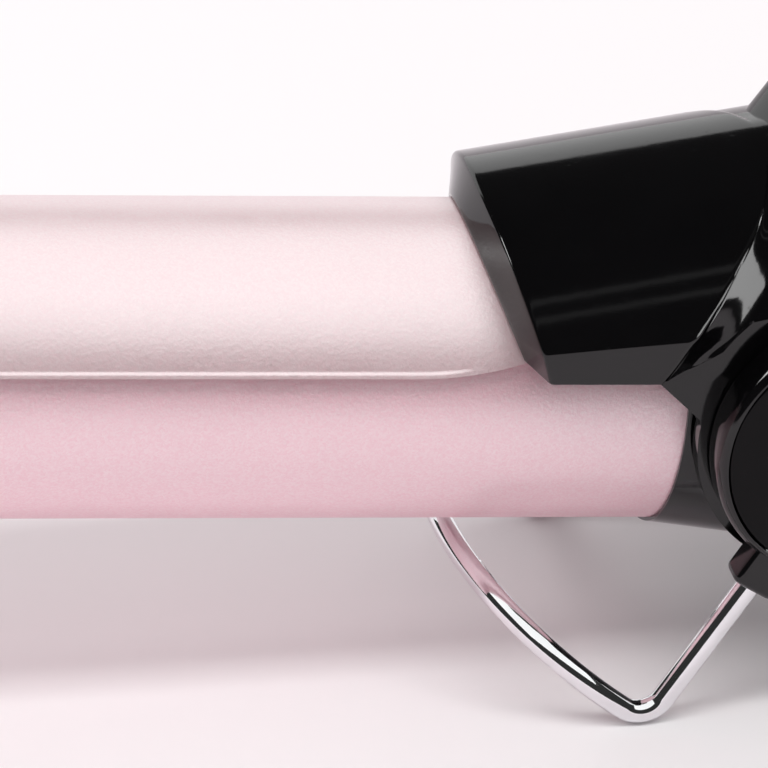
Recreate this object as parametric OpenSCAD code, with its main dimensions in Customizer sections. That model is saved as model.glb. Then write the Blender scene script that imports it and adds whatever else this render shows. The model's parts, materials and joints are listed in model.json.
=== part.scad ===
// Curling iron: a heated barrel with a sprung clamp, a two-shell handle with push buttons,
// a fold-out wire stand and a swivelling cord gland.
// The pieces are drawn along the barrel's axis: tip at -x, handle at +x, up at +z, and x = 0
// at the neck's front face. rest_pose() then sets the iron down on its stand and handle.

/* [Barrel] */
// Outer diameter of the barrel
barrel_d = 32; // [31:0.5:32.5]
// Wall of the barrel tube
barrel_wall = 0.6; // [0.5:0.1:0.8]
// Barrel length in front of the neck
barrel_len = 150; // [130:1:170]
// Length of the cool tip
tip_len = 16; // [12:1:24]
// Length of the heater inside the barrel
heater_len = 62; // [50:1:75]

/* [Clamp] */
// Thickness of the clamp plate
plate_t = 0.9; // [0.8:0.1:1]
// Gap between the barrel and the clamp plate
plate_gap = 0.4; // [0.3:0.05:0.4]
// Half of the angle that the plate wraps around the barrel, from the top
plate_half_angle = 66.5; // [60:0.5:70]
// Radius of the hood's arch at its front
hood_r = 21.5; // [21.2:0.1:22]
// Half of the hood's width
hood_half_w = 20.5; // [20.2:0.1:21]
// Rise of the hood towards the thumb paddle, in degrees
hood_rise = 10.9; // [10:0.1:12]
// Width of the thumb paddle at its end
paddle_w = 25; // [22:1:28]

/* [Pivot and stand] */
// Distance of the pivot axis behind the neck's front face
pivot_x = 16.3; // [16:0.1:17]
// Height of the pivot axis above the barrel's axis
pivot_z = 2.2; // [1.8:0.1:2.4]
// Radius of the stand's round hubs
hub_r = 14.8; // [14.5:0.1:15]
// Diameter of the stand wire
wire_d = 2.5; // [2:0.1:2.5]
// Distance of each leg from the middle plane
leg_y = 21.9; // [21.8:0.05:22]
// Slope of the legs below the barrel, in degrees
leg_angle = 61.5; // [55:0.5:65]
// Slope of the loop from the feet up to the barrel, in degrees
loop_angle = 33; // [30:0.5:34]
// Length of the loop from the feet to its crown
loop_reach = 18.7; // [17:0.1:20]
// Depth of the feet's undersides below the barrel's axis
foot_drop = 30.4; // [29:0.1:32]

/* [Handle] */
// Outer radius of the neck and of the handle's front
handle_r = 17.5; // [17.4:0.1:17.6]
// Outer radius of the handle's rear
handle_rear_r = 16; // [15.8:0.1:16.4]
// Where the handle shells end
handle_end = 158; // [156:1:164]
// Wall of the handle shells
shell_t = 2.5; // [2.4:0.05:2.6]
// Radius of the cord's bore in the gland
cord_bore_r = 3.3; // [2.5:0.1:3.5]

/* [Hidden] */
$fn = 96;

barrel_r = barrel_d / 2;
bore_r = barrel_r - barrel_wall;
seat_len = 12;
tip_x = -barrel_len;
tip_ring_t = 2;
tip_r = barrel_r - 0.8;
heater_x = -40 - heater_len;
heater_gap = 1.4;
heater_skin = 0.8;
heater_web = 1;

// clamp
plate_r = barrel_r + plate_gap;
plate_front = -barrel_len + 3;
hood_base = [-20.7, 0.2];
hood_low = 8.8;
rim_low_x = -16.6;
rim_lean = 20;
crease_x = -5.2;
crease_angle = 56;
hood_wall = 2;
lip_t = 2.6;
rear_r = 21;
rear_half_w = 20.2;
ear_in = 17.3;
ear_out = 19.4;
ear_r = 15.9;
recess_r = 17.9;
spring_at = [12.5, 22.4];
spring_r = 2.6;
spring_wire_r = 0.5;
spring_turns = 4.5;
clamp_screw_x = [-9, -2];
tab_r = 18;

// pivot and stand
spigot_r = 5;
run_fit = 0.05;
hub_back = 19.6;
hub_depth = 4.6;
hub_web = 1.7;
cap_recess_r = 13.2;
spigot_end = hub_back + hub_web + 0.1;
retainer_r = 8.5;
retainer_t = 0.9;
lug_r = 18.5;
lug_w = 5.6;
wire_r = wire_d / 2;
bend_r = 3;
leg_dir = [-cos(leg_angle), -sin(leg_angle)];
bend_z = wire_r + bend_r - foot_drop;
leg_len = (pivot_z + bend_r * cos(leg_angle) - bend_z) / sin(leg_angle);
bend_x = pivot_x + leg_len * leg_dir[0] - bend_r * sin(leg_angle);

// handle
neck_end = 36;
neck_bore_r = 13.6;
spigot_len = 7;
heel_r = 4;
lip_r = 11.05;
boss_x = [50, 130];
panel = [62, 112];
panel_w = 17;
panel_t = 1.5;
power_x = 69.5;
display_x = 84.3;
display_size = [17, 8.6];
minus_x = 97.6;
plus_x = 106.2;
power_r = 4.3;
key_r = 3.3;
key_gap = 0.15;
key_proud = 0.7;
key_travel = 0.6;
switch_h = 3.9;
board = [60, 114];
board_w = 22;
board_z = [3, 4.6];
gland_r = 6;
ring_x = [138, 142.5];

function handle_at(x) = handle_r
    - (handle_r - handle_rear_r) * pow(max(0, x - neck_end) / (handle_end - neck_end), 2);
function arc(centre, r, from, to, n) =
    [for (i = [0:n]) centre + r * [cos(from + (to - from) * i / n), sin(from + (to - from) * i / n)]];
function unit(v) = v / norm(v);
function place_xz(p, y) = [p[0], y, p[1]];

// the pose at rest: the line under the feet and the handle's heel is level
heel = [handle_end - heel_r, heel_r - handle_at(handle_end - heel_r)];
foot_span = heel - [bend_x, bend_z];
tilt = atan2(foot_span[1], foot_span[0])
    - asin((heel_r - bend_r - wire_r) / norm(foot_span));
lift = heel_r + heel[0] * sin(tilt) - heel[1] * cos(tilt);
gland_end = handle_end + 10;
shift = 0.5 * ((barrel_len + tip_len - gland_end) * cos(tilt) + (5 - 6.5) * sin(tilt));

module rest_pose() { translate([shift, 0, lift]) rotate([0, tilt, 0]) children(); }

// a profile of [radius, x] points turned about the barrel's axis; start 90 is the upper half
module turn_x(profile, start = 0, sweep = 360) {
    rotate([0, 90, 0]) rotate([0, 0, start]) rotate_extrude(angle = sweep) polygon(profile);
}
// a profile of [radius, distance] points turned about the pivot axis, outwards to one side
module turn_pivot(profile, side) {
    translate([pivot_x, 0, pivot_z]) rotate([side * -90, 0, 0]) rotate_extrude() polygon(profile);
}
module disc_x(x0, x1, r) { translate([x0, 0, 0]) rotate([0, 90, 0]) cylinder(h = x1 - x0, r = r); }
module ring_between(x0, x1, r_out, r_in) {
    turn_x([[r_in, x0], [r_out, x0], [r_out, x1], [r_in, x1]]);
}
// an outline of [x, z] points extruded across the iron
module across(width) { rotate([90, 0, 0]) linear_extrude(width, center = true) children(); }
module slot_plan(x0, x1, w) {
    translate([x0 + w / 2, -w / 2]) square([x1 - x0 - w, w]);
    for (x = [x0 + w / 2, x1 - w / 2]) translate([x, 0]) circle(w / 2);
}
module rounded_plan(size, r) {
    square([size[0] - 2 * r, size[1]], center = true);
    square([size[0], size[1] - 2 * r], center = true);
    for (x = [-1, 1], y = [-1, 1])
        translate([x * (size[0] / 2 - r), y * (size[1] / 2 - r)]) circle(r);
}
// a round rod along a path: each ring's frame is turned as little as the path allows
function tangents(p) = [for (i = [0:len(p) - 1])
    unit(p[min(i + 1, len(p) - 1)] - p[max(i - 1, 0)])];
function carried(t, n, i = 0) = i == len(t) ? []
    : let (m = unit(n - (n * t[i]) * t[i])) concat([m], carried(t, m, i + 1));
module rod(path, r, first, sides = 12) {
    t = tangents(path);
    n = carried(t, first);
    points = [for (i = [0:len(path) - 1], k = [0:sides - 1])
        path[i] + r * (cos(360 * k / sides) * n[i] + sin(360 * k / sides) * cross(t[i], n[i]))];
    last = (len(path) - 1) * sides;
    walls = [for (i = [0:len(path) - 2], k = [0:sides - 1])
        let (a = i * sides + k, b = i * sides + (k + 1) % sides)
        [a, a + sides, b + sides, b]];
    ends = [[for (k = [0:sides - 1]) k], [for (k = [sides - 1:-1:0]) last + k]];
    polyhedron(points, concat(walls, ends), convexity = 6);
}
module screw_z(at, head_z, head_r, head_t, shank_r, shank_len, up = 1) {
    translate([at[0], at[1], head_z]) rotate([up > 0 ? 0 : 180, 0, 0]) {
        difference() {
            cylinder(h = head_t, r = head_r);
            translate([0, 0, -0.01]) {
                linear_extrude(0.5) square([head_r, 0.5], center = true);
                linear_extrude(0.5) square([0.5, head_r], center = true);
            }
        }
        translate([0, 0, head_t]) cylinder(h = shank_len, r = shank_r);
    }
}

// ---- barrel and heater
module barrel_tube() {
    color("pink") difference() {
        ring_between(tip_x, seat_len, barrel_r, bore_r);
        neck_screw_holes(1.25);
    }
}
module barrel_holder() {
    color("ivory") difference() {
        turn_x([[8, -6], [bore_r - run_fit, -6], [bore_r - run_fit, seat_len + 0.1],
            [barrel_r - 0.05, seat_len + 0.1], [barrel_r - 0.05, seat_len + 2],
            [11, seat_len + 2], [11, seat_len + 10], [8, seat_len + 10]]);
        neck_screw_holes(1.15);
    }
}
// one half of the heat spreader: a bowed shell on the tube's wall and a flat web on the element
module heater_half(side) {
    r = bore_r - run_fit;
    web_y = sqrt(r * r - pow(heater_gap + heater_web, 2));
    translate([heater_x, 0, 0]) rotate([90, 0, 90]) linear_extrude(heater_len)
        mirror([0, side < 0 ? 1 : 0]) {
            difference() {
                circle(r);
                circle(r - heater_skin);
                translate([-barrel_d, heater_gap - barrel_d * 2]) square(barrel_d * 2);
            }
            translate([-web_y, heater_gap]) square([2 * web_y, heater_web]);
        }
}
module heater_upper() { color("silver") heater_half(1); }
module heater_lower() { color("silver") heater_half(-1); }
module heater_element() {
    color("darkkhaki") translate([heater_x + 5, -7, -heater_gap + 0.02])
        cube([heater_len - 10, 14, 2 * heater_gap - 0.04]);
}
module heat_sensor() {
    color("darkorange") {
        translate([0, 10, 0]) disc_x(heater_x + heater_len - 12, heater_x + heater_len - 5, 1.2);
    }
}
module thermal_fuse() { color("white") translate([0, 0, -5]) disc_x(-24, -13, 1.9); }
module tip_ring() {
    front = tip_x - tip_ring_t;
    r = bore_r - run_fit;
    color("dimgray") turn_x([[1.2, front], [barrel_r - 0.1, front], [barrel_r - 0.1, tip_x],
        [r, tip_x], [r, tip_x + 6], [r - 1.3, tip_x + 6], [r - 1.3, tip_x - 0.6],
        [3.2, tip_x - 0.6], [3.2, tip_x + 5], [1.2, tip_x + 5]]);
}
module tip_cap() {
    base = tip_x - tip_ring_t;
    round_len = 9;
    end = tip_x - tip_len;
    dome = [for (a = [0:10:70]) [
        tip_r * pow(cos(a), 0.7), end + round_len - round_len * sin(a)]];
    color([0.05, 0.05, 0.06]) turn_x(concat(
        [[1.2, end + 4], [3, end + 4], [3, end], [5, end]],
        [for (i = [len(dome) - 1:-1:0]) dome[i]],
        [[tip_r, base], [tip_r - 1.4, base], [tip_r - 1.6, end + round_len],
         [tip_r - 3.8, end + 5], [3.5, end + 5.2], [3.5, base], [1.2, base]]));
}
module tip_screw() {
    end = tip_x - tip_len;
    color("silver") {
        difference() {
            disc_x(end + 2.4, end + 4, 2.8);
            translate([end + 2.3, -2, -0.4]) cube([0.8, 4, 0.8]);
        }
        disc_x(end + 4, tip_x + 4, 1.15);
    }
}

// ---- neck
module neck_screw_holes(r) {
    for (s = [-1, 1]) translate([6, 0, s * 9]) rotate([s < 0 ? 180 : 0, 0, 0]) cylinder(h = 12, r = r);
}
module neck_collar() {
    screw_end = spigot_end - 7;
    color([0.05, 0.05, 0.06]) difference() {
        union() {
            difference() {
                turn_x([[barrel_r + 0.05, 0], [barrel_r + 0.4, 0], [handle_r, 8.7],
                    [handle_r, neck_end], [handle_r - shell_t - 0.1, neck_end],
                    [handle_r - shell_t - 0.1, neck_end + spigot_len],
                    [neck_bore_r, neck_end + spigot_len], [neck_bore_r, seat_len + 2.1],
                    [barrel_r + 0.05, seat_len + 2.1]]);
                for (s = [-1, 1]) translate([-1, s * 27 - 10, -10]) cube([34, 20, 20]);
            }
            for (s = [-1, 1])
                turn_pivot([[0, 13.3], [spigot_r, 13.3], [spigot_r, spigot_end], [0, spigot_end]], s);
        }
        for (s = [-1, 1])
            turn_pivot([[0, screw_end], [1.2, screw_end], [1.2, 30], [0, 30]], s);
        neck_screw_holes(1.25);
        for (s = [-1, 1]) translate([6, 0, s * 16.4 - 1]) cylinder(h = 2, r = 2.3);
        disc_x(-1, seat_len + 2.1, barrel_r + 0.05);
    }
}
module neck_screws() {
    color("silver") for (s = [-1, 1])
        screw_z([6, 0], s * 17.1, 2.1, 0.7, 1.1, 4.8, -s);
}

// ---- handle
module shell_profile() {
    side = [for (i = [0:12]) let (x = neck_end + 0.1 + (heel[0] - neck_end - 0.1) * i / 12)
        [handle_at(x), x]];
    bowed = arc([handle_at(heel[0]) - heel_r, heel[0]], heel_r, 15, 90, 5);
    inside = [for (i = [12:-1:0]) let (x = neck_end + 0.1 + (heel[0] - neck_end - 2) * i / 12)
        [handle_at(x) - shell_t, x]];
    polygon(concat(side, bowed, [[lip_r, handle_end], [lip_r, handle_end - 2.4]],
        [[handle_at(heel[0]) - 3.4, handle_end - 2.4]], inside));
}
module shell_half(upper) {
    rotate([0, 90, 0]) rotate([0, 0, upper ? 90 : -90]) rotate_extrude(angle = 180) shell_profile();
}
// the handle's outer surface, moved outwards by some amount, over the control panel
module panel_body(out) {
    turn_x(concat([[0, panel[0] - 8]], [for (i = [0:6])
        let (x = panel[0] - 8 + (panel[1] - panel[0] + 16) * i / 6) [handle_at(x) + out, x]],
        [[0, panel[1] + 8]]));
}
module upward(z = 0) { translate([0, 0, z]) linear_extrude(30) children(); }
module handle_upper() {
    color([0.05, 0.05, 0.06]) difference() {
        union() {
            shell_half(true);
            intersection() {
                for (x = boss_x) translate([x, 0, 0.05]) cylinder(h = 20, r = 3.4);
                disc_x(neck_end + 1, handle_end - 3, handle_rear_r - 0.6);
            }
        }
        for (x = boss_x) translate([x, 0, -1]) cylinder(h = 12, r = 1.15);
        difference() {
            upward() slot_plan(panel[0] - 0.1, panel[1] + 0.1, panel_w + 0.2);
            panel_body(-panel_t - 0.05);
        }
        upward() slot_plan(panel[0] + 1.5, panel[1] - 1.5, panel_w - 3);
    }
}
module handle_lower() {
    color([0.05, 0.05, 0.06]) difference() {
        union() {
            shell_half(false);
            intersection() {
                union() {
                    for (x = boss_x) translate([x, 0, -20]) cylinder(h = 19.95, r = 3.6);
                    for (x = [board[0] + 4, board[1] - 4], y = [-8, 8])
                        translate([x, y, -20]) cylinder(h = 20 + board_z[0] - 0.05, r = 2);
                }
                disc_x(neck_end + 1, handle_end - 3, handle_rear_r - 0.6);
            }
        }
        for (x = boss_x) {
            translate([x, 0, -25]) cylinder(h = 30, r = 1.3);
            translate([x, 0, -25]) cylinder(h = 25 - 13, r = 3);
        }
    }
}
module handle_screws() {
    color("silver") for (x = boss_x) screw_z([x, 0], -14.7, 2.8, 1.7, 1.1, 21);
}

// ---- controls
module control_bezel() {
    color([0.09, 0.09, 0.1]) difference() {
        intersection() {
            panel_body(0.25);
            upward() slot_plan(panel[0], panel[1], panel_w);
        }
        panel_body(-panel_t);
        upward() {
            translate([power_x, 0]) circle(power_r + key_gap);
            for (x = [minus_x, plus_x]) translate([x, 0]) circle(key_r + key_gap);
            translate([display_x, 0]) rounded_plan(display_size, 1.5);
        }
    }
}
module display_window() {
    color([0.02, 0.02, 0.03, 0.9]) difference() {
        intersection() {
            panel_body(0.2);
            upward() translate([display_x, 0]) rounded_plan(display_size - [0.1, 0.1], 1.5);
        }
        panel_body(-panel_t);
    }
}
// a push button: a domed key, a flange that keeps it in, and a stem over its switch
module key(x, r) {
    flange_r = r + 0.7;
    flange_top = sqrt(pow(handle_at(x) - panel_t, 2) - flange_r * flange_r) - 0.2;
    stem_end = board_z[1] + switch_h + key_travel + 0.25;
    intersection() {
        union() {
            translate([x, 0, flange_top - 0.5]) cylinder(h = 10, r = r);
            translate([x, 0, flange_top - 1.2]) cylinder(h = 1.2, r = flange_r);
            translate([x, 0, stem_end]) cylinder(h = flange_top - 1 - stem_end, r = 1.5);
        }
        panel_body(0.25 + key_proud);
    }
}
module power_button() { color("gainsboro") key(power_x, power_r); }
module minus_button() { color([0.12, 0.12, 0.13]) key(minus_x, key_r); }
module plus_button() { color([0.12, 0.12, 0.13]) key(plus_x, key_r); }
module circuit_board() {
    color("seagreen") translate([board[0], -board_w / 2, board_z[0]])
        cube([board[1] - board[0], board_w, board_z[1] - board_z[0]]);
}
module display_module() {
    color("whitesmoke") translate([display_x - 8, -5, board_z[1] + 0.02]) cube([16, 10, 7.2]);
}
module tact_switches() {
    color("dimgray") for (x = [power_x, minus_x, plus_x]) translate([x, 0, board_z[1] + 0.02]) {
        translate([-3, -3, 0]) cube([6, 6, 3]);
        cylinder(h = switch_h, r = 1.6);
    }
}
module board_parts() {
    under = board_z[0] - 0.02;
    color("darkslategray") {
        translate([66, 0, under - 9]) cylinder(h = 9, r = 5);
        translate([74, -7, under - 8]) cube([14, 14, 8]);
        translate([91, -5, under - 10]) cube([5, 10, 10]);
        translate([100, -3, under - 6]) cylinder(h = 6, r = 3);
        translate([101, 5, under - 6]) cylinder(h = 6, r = 3);
    }
}

// ---- leads inside the body
module heater_leads() {
    color("white") for (s = [-1, 1])
        rod([[62, 4, 5.6], [58, 5, 5.6], [54, 7, 4], [50, 7, 2], [44, 6, 0.5], [36, 5, 0],
            [24, 4, 0], [8, 4, 0], [-12, 4, 0], [-34, 5, 0], [heater_x + heater_len - 4.8, 6, 0]]
            * [[1, 0, 0], [0, s, 0], [0, 0, 1]], 0.8, [0, 0, 1], 8);
}
module mains_leads() {
    color("firebrick") for (s = [-1, 1])
        rod([[136, 3.5, 11], [133, 5, 10.5], [129, 6, 9], [122, 6, 7], [114, 6, 5.6],
            [109, 6, 5.6]] * [[1, 0, 0], [0, s, 0], [0, 0, 1]], 0.8, [0, 1, 0], 8);
}

// ---- swivelling cord gland
module end_collar() {
    color([0.05, 0.05, 0.06]) turn_x([[gland_r + run_fit, handle_end - 6],
        [12.4, handle_end - 6], [12.4, handle_end - 2.5], [lip_r - 0.05, handle_end - 2.5],
        [lip_r - 0.05, handle_end + 0.8], [gland_r + run_fit, handle_end + 0.8]]);
}
module cord_gland() {
    disc = [handle_end - 11.5, handle_end - 6.2];
    color([0.08, 0.08, 0.09]) turn_x(concat([[cord_bore_r, ring_x[0] - 2], [5, ring_x[0] - 2],
        [5, disc[0]], [9.5, disc[0]], [9.5, disc[1]], [gland_r, disc[1]],
        [gland_r, handle_end + 1.1], [10, handle_end + 1.1]],
        arc([6.5, gland_end - 3.5], 3.5, 0, 90, 6), [[cord_bore_r, gland_end]]));
}
module slip_rings() {
    color("goldenrod") for (x = ring_x) ring_between(x, x + 3, 6.8, 5.03);
}
module brush_holder() {
    color("ivory") difference() {
        intersection() {
            translate([ring_x[0] - 1.5, -5, 7.6]) cube([9.5, 10, 7]);
            disc_x(ring_x[0] - 2, ring_x[1] + 6, handle_at(ring_x[1] + 5) - shell_t - 0.05);
        }
        for (x = ring_x) translate([x + 0.45, -1.55, 7]) cube([2.1, 3.1, 4.5]);
    }
}
module contact_brushes() {
    color("darkgoldenrod") for (x = ring_x)
        translate([x + 0.5, -1.5, 6.86]) cube([2, 3, 4.4]);
}

// ---- clamp
module clamp_plate() {
    out_r = plate_r + plate_t;
    edge_z = out_r * cos(plate_half_angle);
    profile = [[plate_r + 1.4, plate_front], [plate_r, plate_front + 7], [plate_r, -16.5],
        [tab_r, -13.5], [tab_r, 1.5], [tab_r + plate_t, 1.5], [tab_r + plate_t, -13.7],
        [out_r, -16.7], [out_r, plate_front + 7], [out_r + 1.4, plate_front]];
    corner = 9;
    color("mistyrose") difference() {
        turn_x(profile, 180 - plate_half_angle, 2 * plate_half_angle);
        // the long edges turn up under the hood and narrow to a tab
        across(60) polygon(concat([[-31, 5]],
            [for (x = [-29:2:-17]) [x, edge_z + 0.04 + pow(x + 29, 2) / 85]],
            [[-13.1, 14.6], [5, 14.6], [5, -5], [-31, -5]]));
        // round front corners
        across(60) polygon(concat([[plate_front - 1, -5], [plate_front - 1, edge_z + corner]],
            arc([plate_front + corner, edge_z + corner], corner, 180, 260, 8),
            [[plate_front + corner, -5]]));
        for (x = clamp_screw_x) translate([x, 0, 15]) cylinder(h = 6, r = 1.25);
    }
}
module clamp_screws() {
    color("silver") for (x = clamp_screw_x) screw_z([x, 0], 17, 2.3, 0.78, 1.15, 4.6);
}
// an arch of the hood: a round top on straight sides
module arch(r, half_w) {
    intersection() { circle(r); translate([-half_w, 0]) square([2 * half_w, r]); }
    translate([-half_w, -30]) square([2 * half_w, 30.01]);
}
module along_hood() {
    translate([hood_base[0], 0, hood_base[1]]) rotate([0, -hood_rise, 0])
        translate([-15, 0, 0]) rotate([90, 0, 90]) linear_extrude(75) children();
}
function crease_at(z) = [crease_x + (z - hood_low) / tan(crease_angle), z];
function rim_at(z) = [rim_low_x - (z - hood_low) * tan(rim_lean), z];
module hood_side() {
    across(60) polygon([rim_at(hood_low), crease_at(hood_low), crease_at(45), rim_at(45)]);
}
module lip_side() {
    across(60) polygon([rim_at(hood_low), rim_at(hood_low) + [lip_t, 0], rim_at(45) + [lip_t, 0],
        rim_at(45)]);
}
module ear_side() {
    across(60) {
        polygon([crease_at(hood_low) - [1, 0], [pivot_x - ear_r, pivot_z + 1.5], [pivot_x, pivot_z],
            [pivot_x + 13.5, pivot_z + 8], [21, 26], [21, 45], crease_at(45) - [1, 0]]);
        translate([pivot_x, pivot_z]) circle(ear_r);
    }
}
module thumb_paddle() {
    top = [[8.5, 25], [10.4, 28.2], [15.8, 36], [18.6, 38.4], [22, 39.4], [28, 39.2], [36, 38.6],
        [44, 38.7], [52.5, 39.8]];
    under = [[52.5, 37.6], [44, 36.2], [36, 36], [28, 36.5], [23, 36.6], [19.5, 35.2],
        [17, 32], [15.5, 26]];
    end_r = paddle_w / 2;
    intersection() {
        across(60) polygon(concat(top, under));
        linear_extrude(60) {
            polygon([[6, -10], [16, -10], [52 - end_r, -end_r], [52 - end_r, end_r], [16, 10], [6, 10]]);
            translate([52 - end_r, 0]) circle(end_r);
        }
    }
}
module clamp_lever() {
    around_plate = plate_r + plate_t + 0.1;
    around_tab = tab_r + plate_t + 0.1;
    color([0.04, 0.04, 0.05]) difference() {
        union() {
            intersection() {
                along_hood() difference() {
                    arch(hood_r, hood_half_w);
                    arch(hood_r - 1.8, hood_half_w - hood_wall);
                }
                hood_side();
            }
            // the thick front lip closes round the plate
            difference() {
                intersection() {
                    along_hood() arch(hood_r - 0.5, hood_half_w - 0.5);
                    lip_side();
                }
                turn_x([[0, -40], [around_plate, -40], [around_plate, -17],
                    [around_tab, -13.7], [around_tab, 0], [0, 0]]);
            }
            difference() {
                intersection() {
                    along_hood() difference() {
                        arch(rear_r, rear_half_w);
                        arch(rear_r - 1.6, ear_in);
                    }
                    ear_side();
                }
                // the flat recess that the stand's hub turns in
                for (s = [-1, 1]) turn_pivot([[0, ear_out], [recess_r, ear_out],
                    [recess_r, 30], [0, 30]], s);
            }
            thumb_paddle();
            // bosses for the clamp screws, and cheeks for the spring's pin
            intersection() {
                union() {
                    for (x = clamp_screw_x)
                        translate([x, 0, tab_r + plate_t + 0.02]) cylinder(h = 9, r = 3);
                    for (s = [-1, 1]) translate([0, s * 7, 0]) across(2) {
                        translate(spring_at) circle(3);
                        translate(spring_at - [3, 0]) square([6, 9]);
                    }
                }
                along_hood() arch(rear_r - 0.5, ear_in + 1);
            }
        }
        for (s = [-1, 1]) turn_pivot([[0, 10], [spigot_r + run_fit, 10],
            [spigot_r + run_fit, 30], [0, 30]], s);
        for (x = clamp_screw_x) translate([x, 0, 15]) cylinder(h = 8, r = 1.2);
        translate([spring_at[0], 0, spring_at[1]]) rotate([90, 0, 0])
            cylinder(h = 18, r = 1.22, center = true);
    }
}
module spring_pin() {
    color("silver") translate([spring_at[0], 0, spring_at[1]]) rotate([90, 0, 0])
        cylinder(h = 17, r = 1.2, center = true);
}
// a torsion spring: one leg lies on the neck, the other under the lever's roof
module clamp_spring() {
    half = spring_turns * 0.6;
    steps = 60;
    coil = [for (i = [0:steps]) let (a = -90 - 360 * spring_turns * i / steps)
        [spring_at[0] + spring_r * cos(a), -half + 2 * half * i / steps,
         spring_at[1] + spring_r * sin(a)]];
    color("silver") rod(concat([[25, -half, 18.15], [21, -half, 18.7], [17, -half, 19.5]], coil,
        [[16, half, 25], [19.5, half, 25.6]]), spring_wire_r, [0, 1, 0], 8);
}

// ---- stand and pivots
module stand_hub(side) {
    fillet = hub_r - cap_recess_r;
    mid = hub_back + 0.2 + (hub_depth - 0.4) / 2;
    difference() {
        union() {
            turn_pivot(concat([[spigot_r + run_fit, hub_back], [hub_r - 0.4, hub_back],
                [hub_r, hub_back + 0.4]],
                arc([cap_recess_r, hub_back + hub_depth - fillet], fillet, 0, 90, 6),
                [[cap_recess_r, hub_back + hub_web], [spigot_r + run_fit, hub_back + hub_web]]), side);
            translate([pivot_x, side * mid, pivot_z]) rotate([0, 270 - leg_angle, 0])
                translate([0, 0, cap_recess_r + 0.6])
                    linear_extrude(lug_r - cap_recess_r - 0.6)
                        rounded_plan([lug_w, hub_depth - 0.4], 1.2);
        }
        translate([pivot_x, side * leg_y, pivot_z]) rotate([0, 270 - leg_angle, 0])
            cylinder(h = lug_r + 1, r = wire_r + run_fit);
    }
}
module stand_hub_left() { color([0.05, 0.05, 0.06]) stand_hub(-1); }
module stand_hub_right() { color([0.05, 0.05, 0.06]) stand_hub(1); }
// the stand's path: down a leg, round the foot, along the loop and back up the other leg
module stand_wire() {
    leg = [for (d = [cap_recess_r + 0.9, lug_r, leg_len - 4, leg_len - 0.6])
        place_xz([pivot_x, pivot_z] + d * leg_dir, -leg_y)];
    bend = [for (p = arc([bend_x, bend_z], bend_r, leg_angle - 90, -90 - loop_angle, 8))
        place_xz(p, -leg_y)];
    start = [bend_x, bend_z] - bend_r * [sin(loop_angle), cos(loop_angle)];
    fullness = 2 / 2.06;
    loop = [for (a = [-84:6:84]) place_xz(start
        + loop_reach * pow(cos(a), fullness) * [-cos(loop_angle), sin(loop_angle)],
        leg_y * sign(a) * pow(abs(sin(a)), fullness))];
    near = concat(leg, bend);
    far = [for (i = [len(near) - 1:-1:0]) [near[i][0], -near[i][1], near[i][2]]];
    color("lightgray") rod(concat(near, loop, far), wire_r, [0, 1, 0], 12);
}
module pivot_retainers() {
    color("silver") for (s = [-1, 1]) turn_pivot([[1.25, spigot_end], [retainer_r, spigot_end],
        [retainer_r, spigot_end + retainer_t], [1.25, spigot_end + retainer_t]], s);
}
module pivot_screws() {
    head = spigot_end + retainer_t;
    color("silver") for (s = [-1, 1]) turn_pivot([[0, spigot_end - 6.5], [1.15, spigot_end - 6.5],
        [1.15, head], [2.6, head], [2.6, head + 0.7], [1.6, head + 1], [0, head + 1]], s);
}
module pivot_cap(side) {
    face = hub_back + hub_depth;
    r = cap_recess_r - 0.3;
    turn_pivot(concat([[retainer_r + 0.02, spigot_end + 0.1], [retainer_r + 1.1, spigot_end + 0.1],
        [retainer_r + 1.1, face - 0.8], [r, face - 0.8]],
        [for (i = [0:6]) [r * (1 - i / 6), face + 0.9 * (1 - pow(1 - i / 6, 2))]],
        [[0, face - 0.7], [retainer_r + 0.02, face - 0.7]]), side);
}
module pivot_cap_left() { color([0.05, 0.05, 0.06]) pivot_cap(-1); }
module pivot_cap_right() { color([0.05, 0.05, 0.06]) pivot_cap(1); }

rest_pose() barrel_tube();
rest_pose() barrel_holder();
rest_pose() heater_upper();
rest_pose() heater_lower();
rest_pose() heater_element();
rest_pose() heat_sensor();
rest_pose() thermal_fuse();
rest_pose() tip_ring();
rest_pose() tip_cap();
rest_pose() tip_screw();
rest_pose() neck_collar();
rest_pose() neck_screws();
rest_pose() handle_upper();
rest_pose() handle_lower();
rest_pose() handle_screws();
rest_pose() control_bezel();
rest_pose() display_window();
rest_pose() power_button();
rest_pose() minus_button();
rest_pose() plus_button();
rest_pose() circuit_board();
rest_pose() display_module();
rest_pose() tact_switches();
rest_pose() board_parts();
rest_pose() heater_leads();
rest_pose() mains_leads();
rest_pose() end_collar();
rest_pose() cord_gland();
rest_pose() slip_rings();
rest_pose() brush_holder();
rest_pose() contact_brushes();
rest_pose() clamp_lever();
rest_pose() clamp_plate();
rest_pose() clamp_screws();
rest_pose() spring_pin();
rest_pose() clamp_spring();
rest_pose() stand_hub_left();
rest_pose() stand_hub_right();
rest_pose() stand_wire();
rest_pose() pivot_retainers();
rest_pose() pivot_screws();
rest_pose() pivot_cap_left();
rest_pose() pivot_cap_right();
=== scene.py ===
import json
import math
import bmesh
import bpy
import numpy as np
from mathutils import Matrix, Vector

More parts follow.
